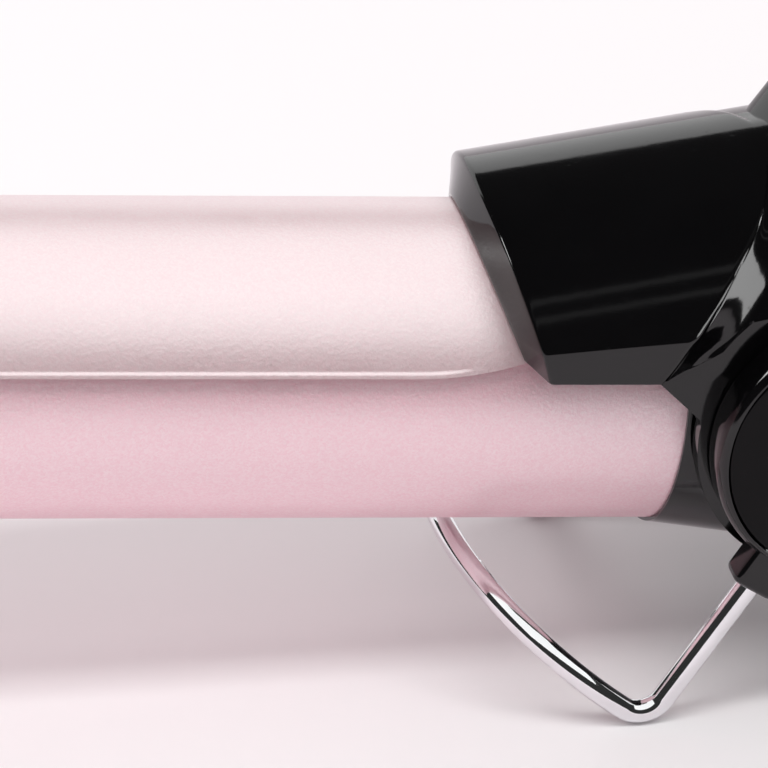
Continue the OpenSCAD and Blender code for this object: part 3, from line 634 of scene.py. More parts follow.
def leverSkin():
    # each column is a straight line in side view from the ridge to the lower border; across it
    # the half-width is a wide arch cut by an upright wall, and a rounder one past the crease
    rim = ((hood["rimLow"], hood["low"]), (-math.tan(math.radians(hood["rimLean"])), 1))
    creaseLean = 1 / math.tan(math.radians(hood["creaseAngle"]))
    crease = ((hood["creaseLow"], hood["low"]), (creaseLean, 1))
    top = hood["height"]
    # stations: 0 at the rim, 1 at the crease, 2 at the rear edge
    front = np.concatenate([np.linspace(0, 0.72, 22)[:-1], np.linspace(0.72, 1.0, 30)])
    rear = np.concatenate([1 + np.linspace(0, 0.05, 12)[1:], 1 + np.linspace(0.05, 1, 84)[1:]])
    # lower border of the ear: down a slanted edge, round the pivot, up to the rear edge
    turn = np.radians(np.linspace(*hood["earTurn"], 90))
    ear = np.concatenate([
        np.linspace([hood["creaseLow"], hood["low"]], hood["earFoot"], 14)[:-1],
        np.stack([pivotX + hood["earRadius"] * np.cos(turn),
                  pivotZ + hood["earRadius"] * np.sin(turn)], 1)])
    length = np.concatenate([[0], np.cumsum(np.linalg.norm(np.diff(ear, axis=0), axis=1))])
    spot = (rear - 1) * length[-1]
    alongLow, lowRear = toRise(*(np.interp(spot, length, ear[:, k]) for k in (0, 1)))
    topStart, topEnd = sideLine(top, *crease), sideLine(top, (hood["rearX"], 25), (0, 1))
    alongTop = topStart + (topEnd - topStart) * (rear - 1)

    # each column as along = start + slope * height
    zero, one = sideLine(0, *rim), sideLine(0, *crease)
    slopeRim, slopeCrease = sideLine(1, *rim) - zero, sideLine(1, *crease) - one
    startFront = zero + (one - zero) * front
    slopeFront = slopeRim + (slopeCrease - slopeRim) * front
    slopeRear = (alongTop - alongLow) / (top - lowRear)
    start = np.concatenate([startFront, alongTop - slopeRear * top])
    slope = np.concatenate([slopeFront, slopeRear])
    border = hood["low"] + hood["borderRise"] * front
    lowFront = (border - hood["base"][1] - startFront * riseSin) / (riseCos + slopeFront * riseSin)
    low = np.concatenate([lowFront, lowRear])
    station = np.concatenate([front, rear])

    # shares of the way over the round top and down the wall, closer together at the bend
    overTop = np.concatenate([np.linspace(0, 0.93, 44)[:-1], np.linspace(0.93, 1, 12)])
    downWall = np.concatenate([np.linspace(0, 0.12, 9)[1:], np.linspace(0.12, 1, 26)[1:]])

    def section(radius, height, wall, kink):
        # heights and half-widths down one side: by angle over the round top, then down the wall
        centre = height - radius
        last = np.arccos(np.clip((kink - centre) / radius, -1, 1))
        arcPart = centre + radius * np.cos(last[:, None] * overTop)
        wallPart = kink[:, None] + (low - kink)[:, None] * downWall
        heights = np.concatenate([arcPart, wallPart], axis=1)
        onArc = np.where(heights > centre,
                         np.sqrt(np.clip(radius ** 2 - (heights - centre) ** 2, 0, None)), radius)
        onArc[:, :len(overTop)] = radius * np.sin(last[:, None] * overTop)
        return heights, smoothMin(onArc, wall, 0.3)

    wall = hood["wallFront"] + (hood["wallRear"] - hood["wallFront"]) * np.clip(station, 0, 1)
    centre = hood["height"] - hood["radius"]
    kinkFront = centre + np.sqrt(hood["radius"] ** 2 - wall ** 2)
    # behind the crease the wall's upper edge is where the ear's recess begins
    trial = top + (low[:, None] - top) * np.linspace(0, 1, 500)
    gap = recessGap(*fromRise(start[:, None] + slope[:, None] * trial, trial))
    inside = gap < 0
    kinkRear = trial[np.arange(len(low)), np.where(inside.any(1), inside.argmax(1), 0)]
    kinkRear = np.where(inside.any(1), kinkRear, kinkFront)
    kinkFront = np.where(station > 1, np.minimum(kinkFront, kinkRear), kinkFront)
    heightFront, wideFront = section(hood["radius"], hood["height"], wall[:, None], kinkFront)
    heightRear, wideRear = section(hood["rearRadius"], hood["rearHeight"], hood["rearWall"],
                                   kinkRear)
    # the crease: a rounded edge, widest at the shoulder, then a slope that eases into the ear
    behind = start[:, None] + slope[:, None] * heightFront - sideLine(heightFront, *crease)
    _, zFront = fromRise(start[:, None] + slope[:, None] * heightFront, heightFront)
    sideways = np.degrees(np.arcsin(np.clip(wideFront / hood["radius"], 0, 1)))
    share = smoothStep(*hood["creaseShare"], sideways)
    sunk = hood["fold"] * smoothStep(*hood["foldFrom"], sideways) * (1 - share)
    heightRear = heightFront + (heightRear - heightFront) * share \
        - sunk * np.cos(np.radians(sideways))
    wideRear = wideFront + (wideRear - wideFront) * share - sunk * np.sin(np.radians(sideways))
    shoulder = smoothStep(*hood["shoulder"], zFront)
    shoulder = shoulder * (1 - 0.8 * smoothStep(*hood["shoulderFade"], zFront))
    roundOff = hood["edgeFlat"] + hood["edgeRound"] * shoulder
    early = hood["edgeDrop"] + hood["edgeRoundDrop"] * shoulder
    before = np.clip((behind + roundOff) / roundOff, 0, 1)
    step = early * (1 - np.sqrt(1 - before ** 2 * 0.98)) / (1 - math.sqrt(0.02))
    drop = np.hypot(wideFront - wideRear, heightFront - heightRear)
    slopeLength = np.clip(hood["slopeRatio"] * drop, *hood["slopeRun"])
    after = np.clip(behind / slopeLength, 0, 1)
    after = 1.5 * after - 0.5 * after ** 3
    step = np.where(behind > 0, early + (1 - early) * after, step)
    height = heightFront + (heightRear - heightFront) * step
    y = wideFront + (wideRear - wideFront) * step
    # the crease bows backwards near the top
    bow = np.where(station < 1, station ** 2, 1 - smoothStep(1, 1.3, station))[:, None]
    bow = hood["creaseBow"] * bow * smoothStep(*hood["creaseBowHeights"], height)
    along = start[:, None] + slope[:, None] * height + bow
    x, z = fromRise(along, height)
    # the ear's flat, tilted inwards above the pivot, with a wall where the recess ends
    flat = hood["recessFlat"] - hood["recessTilt"] * np.clip(z - pivotZ - 7, 0, 11) \
        + hood["recessWall"] * smoothStep(-0.02, 0.9, recessGap(x, z))
    y = np.where(behind > -0.2, smoothMin(y, flat, 0.12), y)
    outer = np.stack([x, y, z], -1)
    # inner skin: the same columns, a wall's thickness in
    thin = hood["wall"]
    shrink = 1 - thin / hood["radius"]
    deep = np.where(height > centre, centre + (height - centre) * shrink, height)
    inWall = wall[:, None] - thin
    inWall = inWall - (inWall - hood["earInner"]) * smoothStep(-3.5, -0.5, behind)
    yIn = np.minimum(np.minimum(wideFront, y + 0.3) * shrink, inWall)
    xIn, zIn = fromRise(along, deep)
    inner = np.stack([xIn, yIn, zIn], -1)
    return outer, inner


def leverHood():
    # the rim: rounded from the skin over the edge, down the sloping lip face, into the bore
    outer, inner = leverSkin()
    edge = outer[0]
    lengths = np.concatenate([[0], np.cumsum(np.linalg.norm(np.diff(edge, axis=0), axis=1))])
    angle = lengths / lengths[-1] * math.acos(hood["low"] / hood["lipRadius"])
    zB = hood["lipRadius"] * np.cos(angle)
    xB = hood["lipLow"] - (zB - hood["low"]) * math.tan(math.radians(hood["lipLean"]))
    bore = np.stack([xB, hood["lipRadius"] * np.sin(angle), zB], -1)
    inward = bore - edge
    faceLength = np.linalg.norm(inward, axis=1, keepdims=True)
    inward = inward / faceLength
    back = outer[1] - edge
    back = back / np.linalg.norm(back, axis=1, keepdims=True)

    def bend(start, corner, end, steps):
        # a curve that leaves one side, turns at the corner and meets the other side
        t = np.linspace(0, 1, steps)[:, None, None]
        return (1 - t) ** 2 * start + 2 * t * (1 - t) * corner + t ** 2 * end

    over = bend(edge + back * 0.4, edge, edge + inward * 0.45, 8)
    face = edge + inward * (0.45 + (faceLength - 0.85) * np.linspace(0, 1, 8)[:, None, None])
    into = bend(bore - inward * 0.4, bore, bore + np.array([0.4, 0, 0]), 5)
    lip = np.concatenate([over, face[1:-1], into])
    boreBack = bore + np.array([hood["lipBack"] + 0.6, 0, 0])
    skin = outer[1:][::-1]
    innerSkin = inner[1:][::-1]
    inwards = np.linspace(0, 1, len(lip) + 1)[1:, None, None]
    lipBack = innerSkin[-1] + (boreBack - innerSkin[-1]) * inwards

    def bothSides(far):
        # the near half mirrors the far half about the middle plane
        near = far * np.array([1, -1, 1])
        return np.concatenate([far[:, ::-1], near[:, 1:]], axis=1)

    return thickSheet(bothSides(np.concatenate([skin, lip])),
                      bothSides(np.concatenate([innerSkin, lipBack])))


# the paddle's upper and under lines in side view, and how its plan widens to a round end
paddle = {"top": [[7.0, 22.5], [8.9, 25.6], [10.8, 28.6], [13.2, 32.4], [16.2, 36.2],
                  [19.2, 38.6], [22.5, 39.4], [28, 39.2], [36, 38.6], [44, 38.7], [51.9, 39.75]],
          "under": [[14.4, 21.5], [15.1, 24.4], [16.0, 27.6], [17.2, 31.2], [18.6, 33.9],
                    [20.8, 36.0], [23.8, 36.65], [28.5, 36.5], [36, 36.0], [44, 36.2],
                    [51.9, 37.55]],
          "stem": 10.0, "widen": 2.5, "widenOver": (14.0, 36.0), "endX": 39.5, "endRadius": 12.45,
          "thinFrom": 51.0, "squareness": 2 / 4.2, "sides": 96}


def squareCircle(turn, power):
    # a superellipse: cosine and sine with their sizes raised to a power below 1
    c, s = np.cos(turn), np.sin(turn)
    return np.sign(c) * np.abs(c) ** power, np.sign(s) * np.abs(s) ** power


def thumbPaddle():
    # superellipse sections between the paddle's top and under lines, widened towards the end
    top, under = smoothPath(paddle["top"], 90), smoothPath(paddle["under"], 90)
    middle, half = (top + under) / 2, (top - under) / 2
    x, sides = middle[:, 0], paddle["sides"]
    width = paddle["stem"] + paddle["widen"] * smoothStep(*paddle["widenOver"], x)
    roundEnd = np.sqrt(np.clip(paddle["endRadius"] ** 2 - (x - paddle["endX"]) ** 2, 0, None))
    width = np.where(x > paddle["endX"], roundEnd, width)
    ends = np.sqrt(np.clip(1 - (np.clip(x - paddle["thinFrom"], 0, 0.9) / 0.95) ** 2, 0.02, 1))
    turn = np.linspace(0, 2 * math.pi, sides, endpoint=False)[None, :]
    wide, thick = squareCircle(turn, paddle["squareness"])
    thick = (thick * ends[:, None])[..., None] * half[:, None, :]
    points = np.stack([middle[:, None, 0] + thick[..., 0], wide * width[:, None],
                       middle[:, None, 1] + thick[..., 1]], -1)
    return points, gridFaces(len(x), sides, closedColumns=True), endCaps(len(x), sides)


leverPiece = makeMesh("leverHood", *joined(leverHood(), thumbPaddle()))
finishPiece(leverPiece, "clamp", "gloss_black", "clamp_lever", bevel=hood["round"], angle=48)
print("lever made:", len(leverPiece.data.polygons), "faces")

# stand
stand = {"wire": 1.25, "legY": 21.9, "legAngle": 61.5, "bend": 3.0, "loopAngle": 33.0,
         "reach": 18.7, "footDrop": 30.4, "fullness": 2 / 2.06, "legStart": 14.2,
         "hubRadius": 14.8, "hubBack": 19.6, "hubDepth": 4.6, "hubCrown": (1.0, 1.9), "dish": 1.7,
         "spigot": 5.05, "capRadius": 13.8, "capDome": 0.9, "capGap": 0.1,
         "lugWide": 2.8, "lugThick": 2.1, "lugReach": (13.4, 17.7), "lugRound": 0.8,
         "lugSquareness": 2 / 5}


def standPath():
    # down a leg, round the foot, along a superellipse loop in its sloping plane, and back
    leg, loop = math.radians(stand["legAngle"]), math.radians(stand["loopAngle"])
    legY, r = stand["legY"], stand["bend"]
    bendZ = stand["wire"] + r - stand["footDrop"]
    length = (pivotZ + r * math.cos(leg) - bendZ) / math.sin(leg)
    bendX = pivotX - length * math.cos(leg) - r * math.sin(leg)
    d = np.linspace(stand["legStart"], length - 0.15, 60)
    down = np.stack([pivotX - d * math.cos(leg), -legY + 0 * d, pivotZ - d * math.sin(leg)], 1)
    turn = np.linspace(leg - math.pi / 2, -math.pi / 2 - loop, 26)
    foot = np.stack([bendX + r * np.cos(turn), -legY + 0 * turn, bendZ + r * np.sin(turn)], 1)
    startX, startZ = bendX - r * math.sin(loop), bendZ - r * math.cos(loop)
    a = np.linspace(-math.pi / 2, math.pi / 2, 262)[1:-1]
    out = stand["reach"] * np.cos(a) ** stand["fullness"]
    loopPath = np.stack([startX - out * math.cos(loop),
                         legY * np.sign(a) * np.abs(np.sin(a)) ** stand["fullness"],
                         startZ + out * math.sin(loop)], 1)
    near = np.concatenate([down, foot])
    far = near[::-1] * np.array([1, -1, 1])
    return np.concatenate([near, loopPath, far])


def standWire():
    # a round section carried along the path, its frame turned from the legs' to the loop's plane
    path = standPath()
    tangent = np.gradient(path, axis=0)
    tangent /= np.linalg.norm(tangent, axis=1, keepdims=True)
    loop = math.radians(stand["loopAngle"])
    across, square = np.array([0, 1.0, 0]), np.array([math.sin(loop), 0, math.cos(loop)])
    steps, count = np.arange(len(path)), len(path)
    lead, over, sides = 86, 20, 28     # points before the frame turns, points it turns over, sides
    turned = np.clip((steps - lead) / over, 0, 1) * 0.5 * math.pi
    turned = turned + np.clip((steps - (count - lead - over)) / over, 0, 1) * 0.5 * math.pi
    hint = np.cos(turned)[:, None] * across + np.sin(turned)[:, None] * square
    side = hint - (hint * tangent).sum(1, keepdims=True) * tangent
    side /= np.linalg.norm(side, axis=1, keepdims=True)
    up = np.cross(tangent, side)
    turn = np.linspace(0, 2 * math.pi, sides, endpoint=False)[None, :, None]
    r = stand["wire"]
    points = path[:, None, :] + r * (np.cos(turn) * side[:, None] + np.sin(turn) * up[:, None])
    return makeMesh("standWire", points, gridFaces(count, sides, closedColumns=True),
                    endCaps(count, sides))


finishPiece(standWire(), "stand", "chrome_wire", "stand_wire")


def standHub(side):
    # a dished disc with a soft outer edge, and the lug that grips the wire
    back, depth = stand["hubBack"], stand["hubDepth"]
    crownIn, crownDown = stand["hubCrown"]
    around = np.radians(np.linspace(8, 82, 14))
    crown = np.stack([stand["hubRadius"] - crownIn * (1 - np.cos(around)),
                      back + depth - crownDown * (1 - np.sin(around))], 1)
    bore, dish = stand["spigot"], back + stand["dish"]
    corners = np.concatenate([
        [[bore, back], [stand["hubRadius"], back]], crown,
        [[stand["capRadius"], back + depth], [stand["capRadius"], dish], [bore, dish]]])
    radii = [0.1, 0.35] + [0] * len(crown) + [0.06, 0.2, 0.1]
    disc = revolvePivot(roundedProfile(corners, radii, 6), side, 176)
    # the lug: superellipse sections along the leg, shrinking over a rounded end
    leg, sides = math.radians(180 + stand["legAngle"]), 64
    out = np.array([math.cos(leg), 0, math.sin(leg)])
    cross = np.array([-math.sin(leg), 0, math.cos(leg)])
    centre = np.array([pivotX, side * (back + 0.2 + (depth - 0.4) / 2), pivotZ])
    ending = np.linspace(0.15, 1, 8) * math.pi / 2
    rounding, wide = stand["lugRound"], stand["lugWide"]
    reach = np.concatenate([np.linspace(*stand["lugReach"], 8),
                            stand["lugReach"][1] + rounding - rounding * (1 - np.sin(ending))])
    taper = np.concatenate([np.ones(8), 1 - rounding / wide * (1 - np.cos(ending))])[:, None]
    turn = np.linspace(0, 2 * math.pi, sides, endpoint=False)[None, :]
    c, s = squareCircle(turn, stand["lugSquareness"])
    thick = stand["lugThick"] - wide * (1 - taper)
    lug = centre + reach[:, None, None] * out + (c * wide * taper)[..., None] * cross \
        + (s * thick)[..., None] * axisY
    return joined(disc, (lug, gridFaces(len(reach), sides, closedColumns=True),
                         endCaps(len(reach), sides)))


for side, word in ((-1, "left"), (1, "right")):
    hub = makeMesh("standHub" + word.title(), *standHub(side))
    finishPiece(hub, "stand", "gloss_black", "stand_hub_" + word)


def pivotCap(side):
    # a shallow parabolic dome with a rounded rim, set into the hub
    face, r = stand["hubBack"] + stand["hubDepth"], stand["capRadius"] - stand["capGap"]
    bow = np.linspace(0, 1, 26)
    dome = np.stack([(r - 0.5) * (1 - bow),
                     face + stand["capDome"] * (1 - (1 - bow) ** 2) - 0.12 * (1 - bow)], 1)
    rim = [[r, face - 0.8], [r, face - 0.45], [r - 0.06, face - 0.28], [r - 0.2, face - 0.17]]
    under = [[0, face - 0.8]]
    return revolvePivot(np.concatenate([under, rim, dome]), side, 176, closed=False)


for side, word in ((-1, "left"), (1, "right")):
    cap = makeMesh("pivotCap" + word.title(), *pivotCap(side))
    finishPiece(cap, "body", "gloss_black", "pivot_cap_" + word, finish=capFinish)
print("stand made")

# tip
tip = {"radius": 15.2, "length": 16.0, "ring": 2.0, "round": 9.0, "domePower": 0.7,
       "groove": 0.3, "grooveHalf": 0.35, "grooveBack": 2.4, "ringInset": 0.1, "spigot": 6.0,
       "spigotGap": 0.05, "spigotWall": 1.3, "screwBore": 1.2, "screwHead": 3.0}


def tipCap():
    # radius = tip radius * cos(a)^power against distance = dome length * sin(a), with a fine groove
    base, end = barrel["tip"] - tip["ring"], barrel["tip"] - tip["length"]
    r, deep, half = tip["radius"], tip["groove"], tip["grooveHalf"]
    bore, head, grooveX = tip["screwBore"], tip["screwHead"], base - tip["grooveBack"]
    a = np.radians(np.linspace(76, 0, 40))
    dome = np.stack([r * np.cos(a) ** tip["domePower"], end + tip["round"] * (1 - np.sin(a))], 1)
    front = roundedProfile([[bore, end + 4], [head, end + 4], [head, end + 0.1], [5.2, end + 0.1]],
                           [0, 0.2, 0.5, 0], 4, closed=False)
    belt = roundedProfile([dome[-1] + [0, 0.2], [r, grooveX - half], [r - deep, grooveX],
                           [r, grooveX + half], [r, base], [r - 1.4, base], [r - 1.6, end + 9],
                           [r - 3.8, end + 5], [3.5, end + 5.2], [3.5, base], [bore, base]],
                          [0, 0.15, 0.1, 0.15, 0.25, 0.2, 0.3, 0.3, 0.2, 0, 0], 4, closed=False)
    points, faces = revolve(np.concatenate([front[:-1], dome, belt]), 192)
    return finishPiece(makeMesh("tipCap", points, faces), "body", "tip_black", "tip_cap")


def tipRing():
    # the ring's face and its spigot in the barrel, with softened corners
    back, bore, head = barrel["tip"], tip["screwBore"], tip["screwHead"] + 0.2
    front, out = back - tip["ring"], barrel["radius"] - tip["ringInset"]
    r, inside = barrel["radius"] - barrel["wall"] - tip["spigotGap"], back + tip["spigot"]
    profile = roundedProfile([[bore, front], [out, front], [out, back], [r, back], [r, inside],
                              [r - tip["spigotWall"], inside], [r - tip["spigotWall"], back - 0.6],
                              [head, back - 0.6], [head, inside - 1], [bore, inside - 1]],
                             [0.1, 0.45, 0.2, 0.1, 0.3, 0.2, 0.2, 0.2, 0.2, 0.1], 4)
    points, faces = revolve(profile, 192)
    return finishPiece(makeMesh("tipRing", points, faces), "body", "heatproof_grey", "tip_ring")


tipCap()
tipRing()
print("tip made")

# handle end
rear = {"end": 158.0, "collarOut": 12.4, "collarLip": 11.0, "collarProud": 0.8, "collarDeep": 6.0,
        "collarStep": 2.5, "bore": 6.05, "gland": 6.0, "disc": 9.5, "discDeep": (11.5, 6.2),
        "glandEnd": 168.0, "cordBore": 3.3, "inner": 5.0, "shoulder": 10.0, "ringStart": 136.0,
        "grooves": 3, "grooveFirst": 2.3, "groovePitch": 1.5, "grooveHalf": 0.4, "grooveDeep": 0.35,
        "endRound": 3.4, "mouthRound": 0.5}


def endCollar():
    # the fixed ring that closes the shells round the gland: a stepped profile, turned
    e, bore, out, lip = rear["end"], rear["bore"], rear["collarOut"], rear["collarLip"]
    deep, step, proud = e - rear["collarDeep"], e - rear["collarStep"], e + rear["collarProud"]
    profile = roundedProfile([[bore, deep], [out, deep], [out, step], [lip, step], [lip, proud],
                              [bore, proud]], [0.2, 0.2, 0.2, 0.1, 0.35, 0.2], 4)
    points, faces = revolve(profile, 160)
    return finishPiece(makeMesh("endCollar", points, faces), "body", "gloss_black", "end_collar")


def cordGland():
    # the swivelling spigot: grip grooves round the shoulder, a rounded end, and the cord's bore
    e, out, end, bore = rear["end"], rear["shoulder"], rear["glandEnd"], rear["cordBore"]
    discFront, discRear = e - rear["discDeep"][0], e - rear["discDeep"][1]
    corners = [[bore, rear["ringStart"]], [rear["inner"], rear["ringStart"]],
               [rear["inner"], discFront], [rear["disc"], discFront], [rear["disc"], discRear],
               [rear["gland"], discRear], [rear["gland"], e + 1.1], [out, e + 1.1]]
    radii = [0.1, 0.2, 0.1, 0.3, 0.3, 0.1, 0.1, 0.3]
    for k in range(rear["grooves"]):
        at, half = e + rear["grooveFirst"] + rear["groovePitch"] * k, rear["grooveHalf"]
        corners += [[out, at - half], [out - rear["grooveDeep"], at], [out, at + half]]
        radii += [0.12] * 3
    corners += [[out, end], [bore, end]]
    radii += [rear["endRound"], rear["mouthRound"]]
    points, faces = revolve(roundedProfile(corners, radii, 8), 160)
    return finishPiece(makeMesh("cordGland", points, faces), "cord_swivel", "gloss_black",
                       "cord_gland")


endCollar()
cordGland()
print("handle end made")

# handle shells and controls
handle = {"front": 36.1, "taperFrom": 36.0, "radius": 17.5, "rearRadius": 16.0, "end": 158.0,
          "heel": 4.0, "wall": 2.5, "lip": 11.05, "lipThick": 2.4,
          "seamWidth": 0.28, "seamDepth": 0.16, "panel": (62.0, 112.0), "panelWidth": 17.0,
          "panelThick": 1.5, "panelGap": 0.1, "ledge": 1.5, "screwHead": 3.0,
          "bosses": (50.0, 130.0), "posts": ((64, -8), (64, 8), (110, -8), (110, 8))}
# power, minus and plus: place along the handle and radius
keys = {"power": (69.5, 4.3), "minus": (97.6, 3.3), "plus": (106.2, 3.3),
        "proud": 0.95, "edge": 0.45, "crown": 0.14,
        "flange": 0.7, "flangeGap": 0.2, "flangeThick": 1.2, "stem": 1.5,
        "stemEnd": 9.35, "sharp": 50}
window = {"x": 84.3, "size": (16.9, 8.5), "corner": 1.5, "proud": 0.2, "edge": 0.22}


def handleAt(x):
    # the skin's radius, which shrinks with the square of the way to the rear
    taper = np.clip((x - handle["taperFrom"]) / (handle["end"] - handle["taperFrom"]), 0, None)
    return handle["radius"] - (handle["radius"] - handle["rearRadius"]) * taper ** 2


def slotOutline(length, width, corner, steps=16):
    # a rounded rectangle, or a slot where the corner is half the width, with its outward normals
    turn = np.linspace(0, math.pi / 2, steps)
    points, normals = [], []
    for k, (sx, sy) in enumerate(((1, 1), (-1, 1), (-1, -1), (1, -1))):
        d = np.stack([np.cos(turn + k * math.pi / 2), np.sin(turn + k * math.pi / 2)], 1)
        middle = np.array([sx * (length / 2 - corner), sy * (width / 2 - corner)])
        points.append(middle + corner * d)
        normals.append(d)
    return np.concatenate(points), np.concatenate(normals)


def stackOnHandle(name, x, outline, levels):
    # rings of one outline, each scaled and inset, at a height over the handle's skin or plain
    shape, normal = outline
    rings = []
    for scale, inset, onSkin, value in levels:
        flat = (shape - normal * inset) * scale
        along, across = x + flat[:, 0], flat[:, 1]
        height = value + 0 * along
        if onSkin:
            height = np.sqrt((handleAt(along) + value) ** 2 - across ** 2)
        rings.append(np.stack([along, across, height], 1))
    points = np.stack(rings)
    return makeMesh(name, points, gridFaces(len(levels), len(shape), closedColumns=True))


def roundedEdge(edge, top, first, steps):
    # levels down a quarter circle, from a flat top's inset to its full outline
    return [(1, edge * (1 - math.sin(a)), True, top - edge * (1 - math.cos(a)))
            for a in np.linspace(first, math.pi / 2, steps)]


def controlKey(name, body, node, slot, where, finish=None):
    # a shallow paraboloid top, a rounded edge, a flange under the panel and a stem
    x, r = where
    turn = np.linspace(0, 2 * math.pi, 96, endpoint=False)
    circle = np.stack([np.cos(turn), np.sin(turn)], 1)
    top, edge, crown, wider = keys["proud"], keys["edge"], keys["crown"], -keys["flange"]
    panelUnder = handleAt(x) - handle["panelThick"]
    flange = math.sqrt(panelUnder ** 2 - (r + keys["flange"]) ** 2) - keys["flangeGap"]
    under, stem = flange - keys["flangeThick"], keys["stem"] / r
    levels = [(0, 0, True, top - crown)]
    levels += [(k, edge, True, top - crown * (1 - k * k)) for k in np.linspace(0.1, 1, 12)]
    levels += roundedEdge(edge, top, 0.2, 7)
    levels += [(1, 0, False, flange), (1, wider, False, flange), (1, wider, False, under),
               (stem, 0, False, under), (stem, 0, False, keys["stemEnd"]),
               (0, 0, False, keys["stemEnd"])]
    piece = stackOnHandle(name, x, (circle * r, circle), levels)
    piece.data.set_sharp_from_angle(angle=math.radians(keys["sharp"]))
    markSpot(piece, x)
    return finishPiece(piece, body, slot, node, finish=finish)


def displayWindow():
    # a rounded rectangle bent to the handle's skin, a little proud of it, with a soft edge
    length, width = window["size"]
    out, edge, deep = window["proud"], window["edge"], -handle["panelThick"]
    levels = [(0, 0, True, out)] + [(k, edge, True, out) for k in np.linspace(0.08, 1, 14)]
    levels += roundedEdge(edge, out, 0.3, 5)
    levels += [(1, 0, True, deep)] + [(k, 0, True, deep) for k in np.linspace(0.94, 0, 8)]
    outline = slotOutline(length, width, window["corner"])
    piece = stackOnHandle("displayWindow", window["x"], outline, levels)
    piece.data.set_sharp_from_angle(angle=math.radians(keys["sharp"]))
    markSpot(piece, window["x"])
    return finishPiece(piece, "body", "window_dark", "display_window")


def tube(x, y, low, high, outer, bore):
    # an upright boss or post inside the shell: a rectangle turned round its own axis
    sides = 40
    turn = np.linspace(0, 2 * math.pi, sides, endpoint=False)[None, :]
    profile = np.array([[bore, low], [outer, low], [outer, high], [bore, high]])
    radius, height = profile[:, 0:1], profile[:, 1:2]
    points = np.broadcast_arrays(x + radius * np.cos(turn), y + radius * np.sin(turn), height)
    return np.stack(points, -1), gridFaces(4, sides, closedRows=bore > 0, closedColumns=True)


def shellHalf(side):
    # half a turn of the handle's outline, with a wall inwards, rounded at the heel
    front, end, heel, wall = handle["front"], handle["end"], handle["heel"], handle["wall"]
    x = np.linspace(front, end - heel, 60)
    outer = np.stack([handleAt(x), x], 1)
    a = np.linspace(0, math.pi / 2, 22)[1:]
    bowR = handleAt(end - heel) - heel
    bow = np.stack([bowR + heel * np.cos(a), end - heel + heel * np.sin(a)], 1)
    outer = np.concatenate([outer, bow])
    outer = np.concatenate([outer, np.linspace(outer[-1], [handle["lip"], end], 5)[1:]])
    xIn = np.linspace(front, end - heel - 0.4, 60)
    inner = np.stack([handleAt(xIn) - wall, xIn], 1)
    foot = np.array([handleAt(end - heel) - 3.4, end - handle["lipThick"]])
    t = np.linspace(0, 1, 22)[1:, None]
    inner = np.concatenate([inner, inner[-1] + (foot - inner[-1]) * t])
    lip = [handle["lip"], end - handle["lipThick"]]
    inner = np.concatenate([inner, np.linspace(foot, lip, 5)[1:]])
    # a fine groove runs along the line where the two halves meet
    seam = handle["seamWidth"] / handle["radius"]
    turn = np.concatenate([[0, 0.5 * seam], np.linspace(seam, math.pi - seam, 125),
                           [math.pi - 0.5 * seam, math.pi]])[None, :]
    groove = handle["seamDepth"] * np.clip(1 - np.minimum(turn, math.pi - turn) / seam, 0, 1)

    def sheet(profile, cut=0.0):
        radius = profile[:, 0:1] - cut
        return np.stack(np.broadcast_arrays(profile[:, 1:2], radius * np.cos(turn),
                                            side * radius * np.sin(turn)), -1)

    return thickSheet(sheet(outer, groove), sheet(inner))


def handleShells():
    # the upper half less the panel's recess and opening, the lower half less its screw wells
    (panelFront, panelRear), w = handle["panel"], handle["panelWidth"]
    middle, long = 0.5 * (panelFront + panelRear), panelRear - panelFront
    gap, ledge, deep = handle["panelGap"], handle["ledge"], -handle["panelThick"] - 0.05
    above = 25                             # past the skin, so that the tools cut right through
    upper, lower = makeMesh("handleUpper", *shellHalf(1)), makeMesh("handleLower", *shellHalf(-1))
    recess = stackOnHandle("recess", middle,
                           slotOutline(long + 2 * gap, w + 2 * gap, w / 2 + gap),
                           [(0, 0, True, deep), (0.5, 0, True, deep), (1, 0, True, deep),
                            (1, 0, False, above), (0, 0, False, above)])
    opening = stackOnHandle("opening", middle,
                            slotOutline(long - 2 * ledge, w - 2 * ledge, w / 2 - ledge),
                            [(0, 0, False, 3), (1, 0, False, 3), (1, 0, False, above),
                             (0, 0, False, above)])
    carve(upper, [recess, opening])
    carve(lower, [makeMesh("counterbore%d" % k, *tube(x, 0, -above, -13, handle["screwHead"], 0))
                  for k, x in enumerate(handle["bosses"])])
    upperBosses = [tube(x, 0, 0.05, 14.9, 3.4, 1.15) for x in handle["bosses"]]
    lowerBosses = [tube(x, 0, -13, -0.05, 3.6, 1.3) for x in handle["bosses"]] \
        + [tube(x, 0, -15.3, -13, 3.6, handle["screwHead"]) for x in handle["bosses"]] \
        + [tube(x, y, -12.9, 2.95, 2.0, 0) for x, y in handle["posts"]]
    for piece, node, inside in ((upper, "handle_upper", upperBosses),
                                (lower, "handle_lower", lowerBosses)):
        bosses = makeMesh(node + "Bosses", *joined(*inside))
        bosses.data.set_sharp_from_angle(angle=math.radians(shellSharp))
        finishPiece(bosses, "body", "gloss_black")
        finishPiece(piece, "body", "gloss_black", node)


handleShells()
controlKey("powerKey", "power_key", "power_button", "power_key", keys["power"])
controlKey("minusKey", "minus_key", "minus_button", "dark_key", keys["minus"], minusKey)
controlKey("plusKey", "plus_key", "plus_button", "dark_key", keys["plus"], plusKey)
displayWindow()
print("handle and controls made")

# floor, lamps, world and camera
studio = {"floorTone": 0.93, "floorBounce": (0.87, 0.84, 0.86), "floorReach": 6.0,
          "ambient": 0.62, "tint": (1.0, 0.93, 0.955), "ambientGloss": 0.03}
aim = (0, 0, 0.03)
